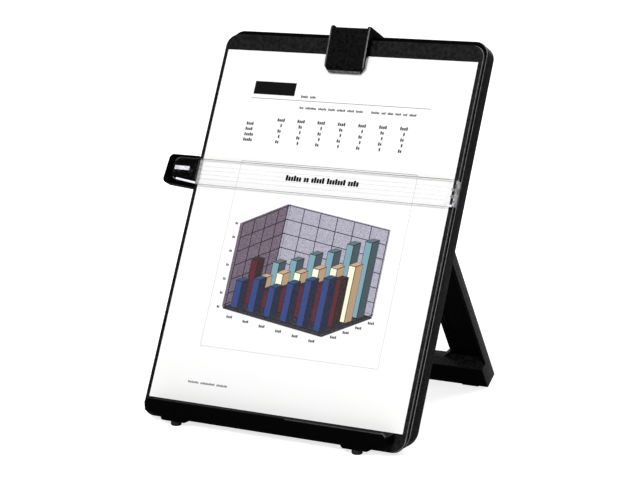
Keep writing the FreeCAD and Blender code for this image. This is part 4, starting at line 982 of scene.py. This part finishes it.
def chart_words(letter):
    marks = []
    for step in range(GRID_LEVELS):
        across, up = drawn(0, 0, step * LEVEL_STEP)
        marks += words(letter, across - SCALE_LEFT, up - SCALE_DROP, SCALE_HEIGHT, (2,))
    for group in range(CHART_GROUPS):
        across, up = drawn((group + 0.5) * GROUP_STEP, 0, 0)
        marks += words(letter, across - GROUP_NAME_LEFT, up - GROUP_NAME_DROP, NAME_HEIGHT, (4,))
    for row in range(len(HEIGHT_SHARES)):
        across, up = drawn(CHART_WIDTH, (row + 0.5) * ROW_STEP, 0)
        marks += words(letter, across + ROW_NAME_RIGHT, up - ROW_NAME_DROP, NAME_HEIGHT, (4,))
    printed("chart_words", marks, TEXT)


LETTER_CORNER_SHARE = 0.18
FOOTER_LEFT = -76.9
FOOTER_BOTTOM = 14.6
FOOTER_HEIGHT = 1.7


def print_sheet():
    plain = patch_stamp("plain_stamp", corner=0)
    letter = patch_stamp("letter_stamp", corner=LETTER_CORNER_SHARE)
    letterhead(plain, letter)
    figures_table(letter)
    chart_frame(plain, letter)
    chart_walls()
    chart_columns()
    chart_words(letter)
    printed("footer", words(letter, FOOTER_LEFT, FOOTER_BOTTOM, FOOTER_HEIGHT, (9, 12, 9)), RULE)
    for stamp in (plain, letter):
        only(stamp)
        bpy.ops.object.delete()


print_sheet()


# Camera, floor and light. The camera is matched to the photograph's frame of 640 by 480

CAMERA_PLACE = Vector((0.74664, -1.24511, 0.41406))
CAMERA_TURN = math.radians(29.55)
CAMERA_RISE = math.radians(10.46)
CAMERA_LENS = 115.06
SENSOR_WIDTH = 36.0
CAMERA_REACH = 50
FLOOR_WIDTH = 30
FLOOR_GREY = 0.8
FLOOR_NEAR_GLOW = 0.76
FLOOR_FADE_START = 0.25
FLOOR_FADE_END = 1.1
WORLD_LIGHT = 0.22
LAMP_AIM = Vector((0, 0.08, 0.14))
LAMPS = {
    "key": {"place": (0.0, -1.8, 1.75), "size": 1.1, "power": 45},
    "fill": {"place": (1.4, -1.5, 0.9), "size": 1.2, "power": 9},
    "back": {"place": (0.6, 1.6, 1.4), "size": 1.2, "power": 16},
}


def facing(direction):
    return direction.to_track_quat("-Z", "Y").to_euler()


def photograph_camera():
    level = math.cos(CAMERA_RISE)
    ahead = Vector((-math.sin(CAMERA_TURN) * level, math.cos(CAMERA_TURN) * level, -math.sin(CAMERA_RISE)))
    bpy.ops.object.camera_add(location=CAMERA_PLACE, rotation=facing(ahead))
    camera = bpy.context.object
    camera.data.lens = CAMERA_LENS
    camera.data.sensor_width = SENSOR_WIDTH
    camera.data.clip_end = CAMERA_REACH
    bpy.context.scene.camera = camera


def pale_floor():
    """White floor that keeps a soft shadow under the object and fades to plain white away from it."""
    bpy.ops.mesh.primitive_plane_add(size=FLOOR_WIDTH)
    floor = bpy.context.object
    floor.name = "floor"
    material, tree, shader = new_material("floor pale")
    shader.inputs["Base Color"].default_value = (FLOOR_GREY, FLOOR_GREY, FLOOR_GREY, 1)
    shader.inputs["Roughness"].default_value = 0.9
    shader.inputs["Specular IOR Level"].default_value = 0.1
    distance = add_node(tree, "ShaderNodeVectorMath", operation="LENGTH")
    tree.links.new(add_node(tree, "ShaderNodeTexCoord").outputs["Object"], distance.inputs[0])
    length = distance.outputs["Value"]
    fade = ranged(tree, length, low=FLOOR_NEAR_GLOW, high=1.0, start=FLOOR_FADE_START, end=FLOOR_FADE_END)
    path = add_node(tree, "ShaderNodeLightPath")
    strength = add_node(tree, "ShaderNodeMath", operation="MULTIPLY")
    tree.links.new(path.outputs["Is Camera Ray"], strength.inputs[0])
    tree.links.new(fade, strength.inputs[1])
    glow = add_node(tree, "ShaderNodeEmission")
    tree.links.new(strength.outputs[0], glow.inputs["Strength"])
    both = add_node(tree, "ShaderNodeAddShader")
    tree.links.new(shader.outputs[0], both.inputs[0])
    tree.links.new(glow.outputs[0], both.inputs[1])
    tree.links.new(both.outputs[0], tree.nodes["Material Output"].inputs["Surface"])
    wear(floor, material)


def studio_world():
    """White surroundings, dimmer as light than as what is seen or mirrored."""
    world = bpy.data.worlds.new("studio")
    bpy.context.scene.world = world
    world.use_nodes = True
    tree = world.node_tree
    background = tree.nodes["Background"]
    background.inputs["Color"].default_value = (1, 1, 1, 1)
    path = add_node(tree, "ShaderNodeLightPath")
    seen = path.outputs["Is Camera Ray"]
    for kind in ("Is Glossy Ray", "Is Transmission Ray"):
        either = add_node(tree, "ShaderNodeMath", operation="MAXIMUM")
        tree.links.new(seen, either.inputs[0])
        tree.links.new(path.outputs[kind], either.inputs[1])
        seen = either.outputs[0]
    strength = ranged(tree, seen, low=WORLD_LIGHT, high=1.0, start=0, end=1)
    tree.links.new(strength, background.inputs["Strength"])


def soft_lamp(name, place, size, power):
    """Round soft lamp that points at the middle of the board."""
    bpy.ops.object.light_add(type="AREA", location=place, rotation=facing(LAMP_AIM - Vector(place)))
    lamp = bpy.context.object
    lamp.name = name
    lamp.data.shape = "DISK"
    lamp.data.size = size
    lamp.data.energy = power


photograph_camera()
pale_floor()
studio_world()
for lamp_name, lamp_settings in LAMPS.items():
    soft_lamp(lamp_name, **lamp_settings)

bpy.context.scene.view_settings.view_transform = "Standard"
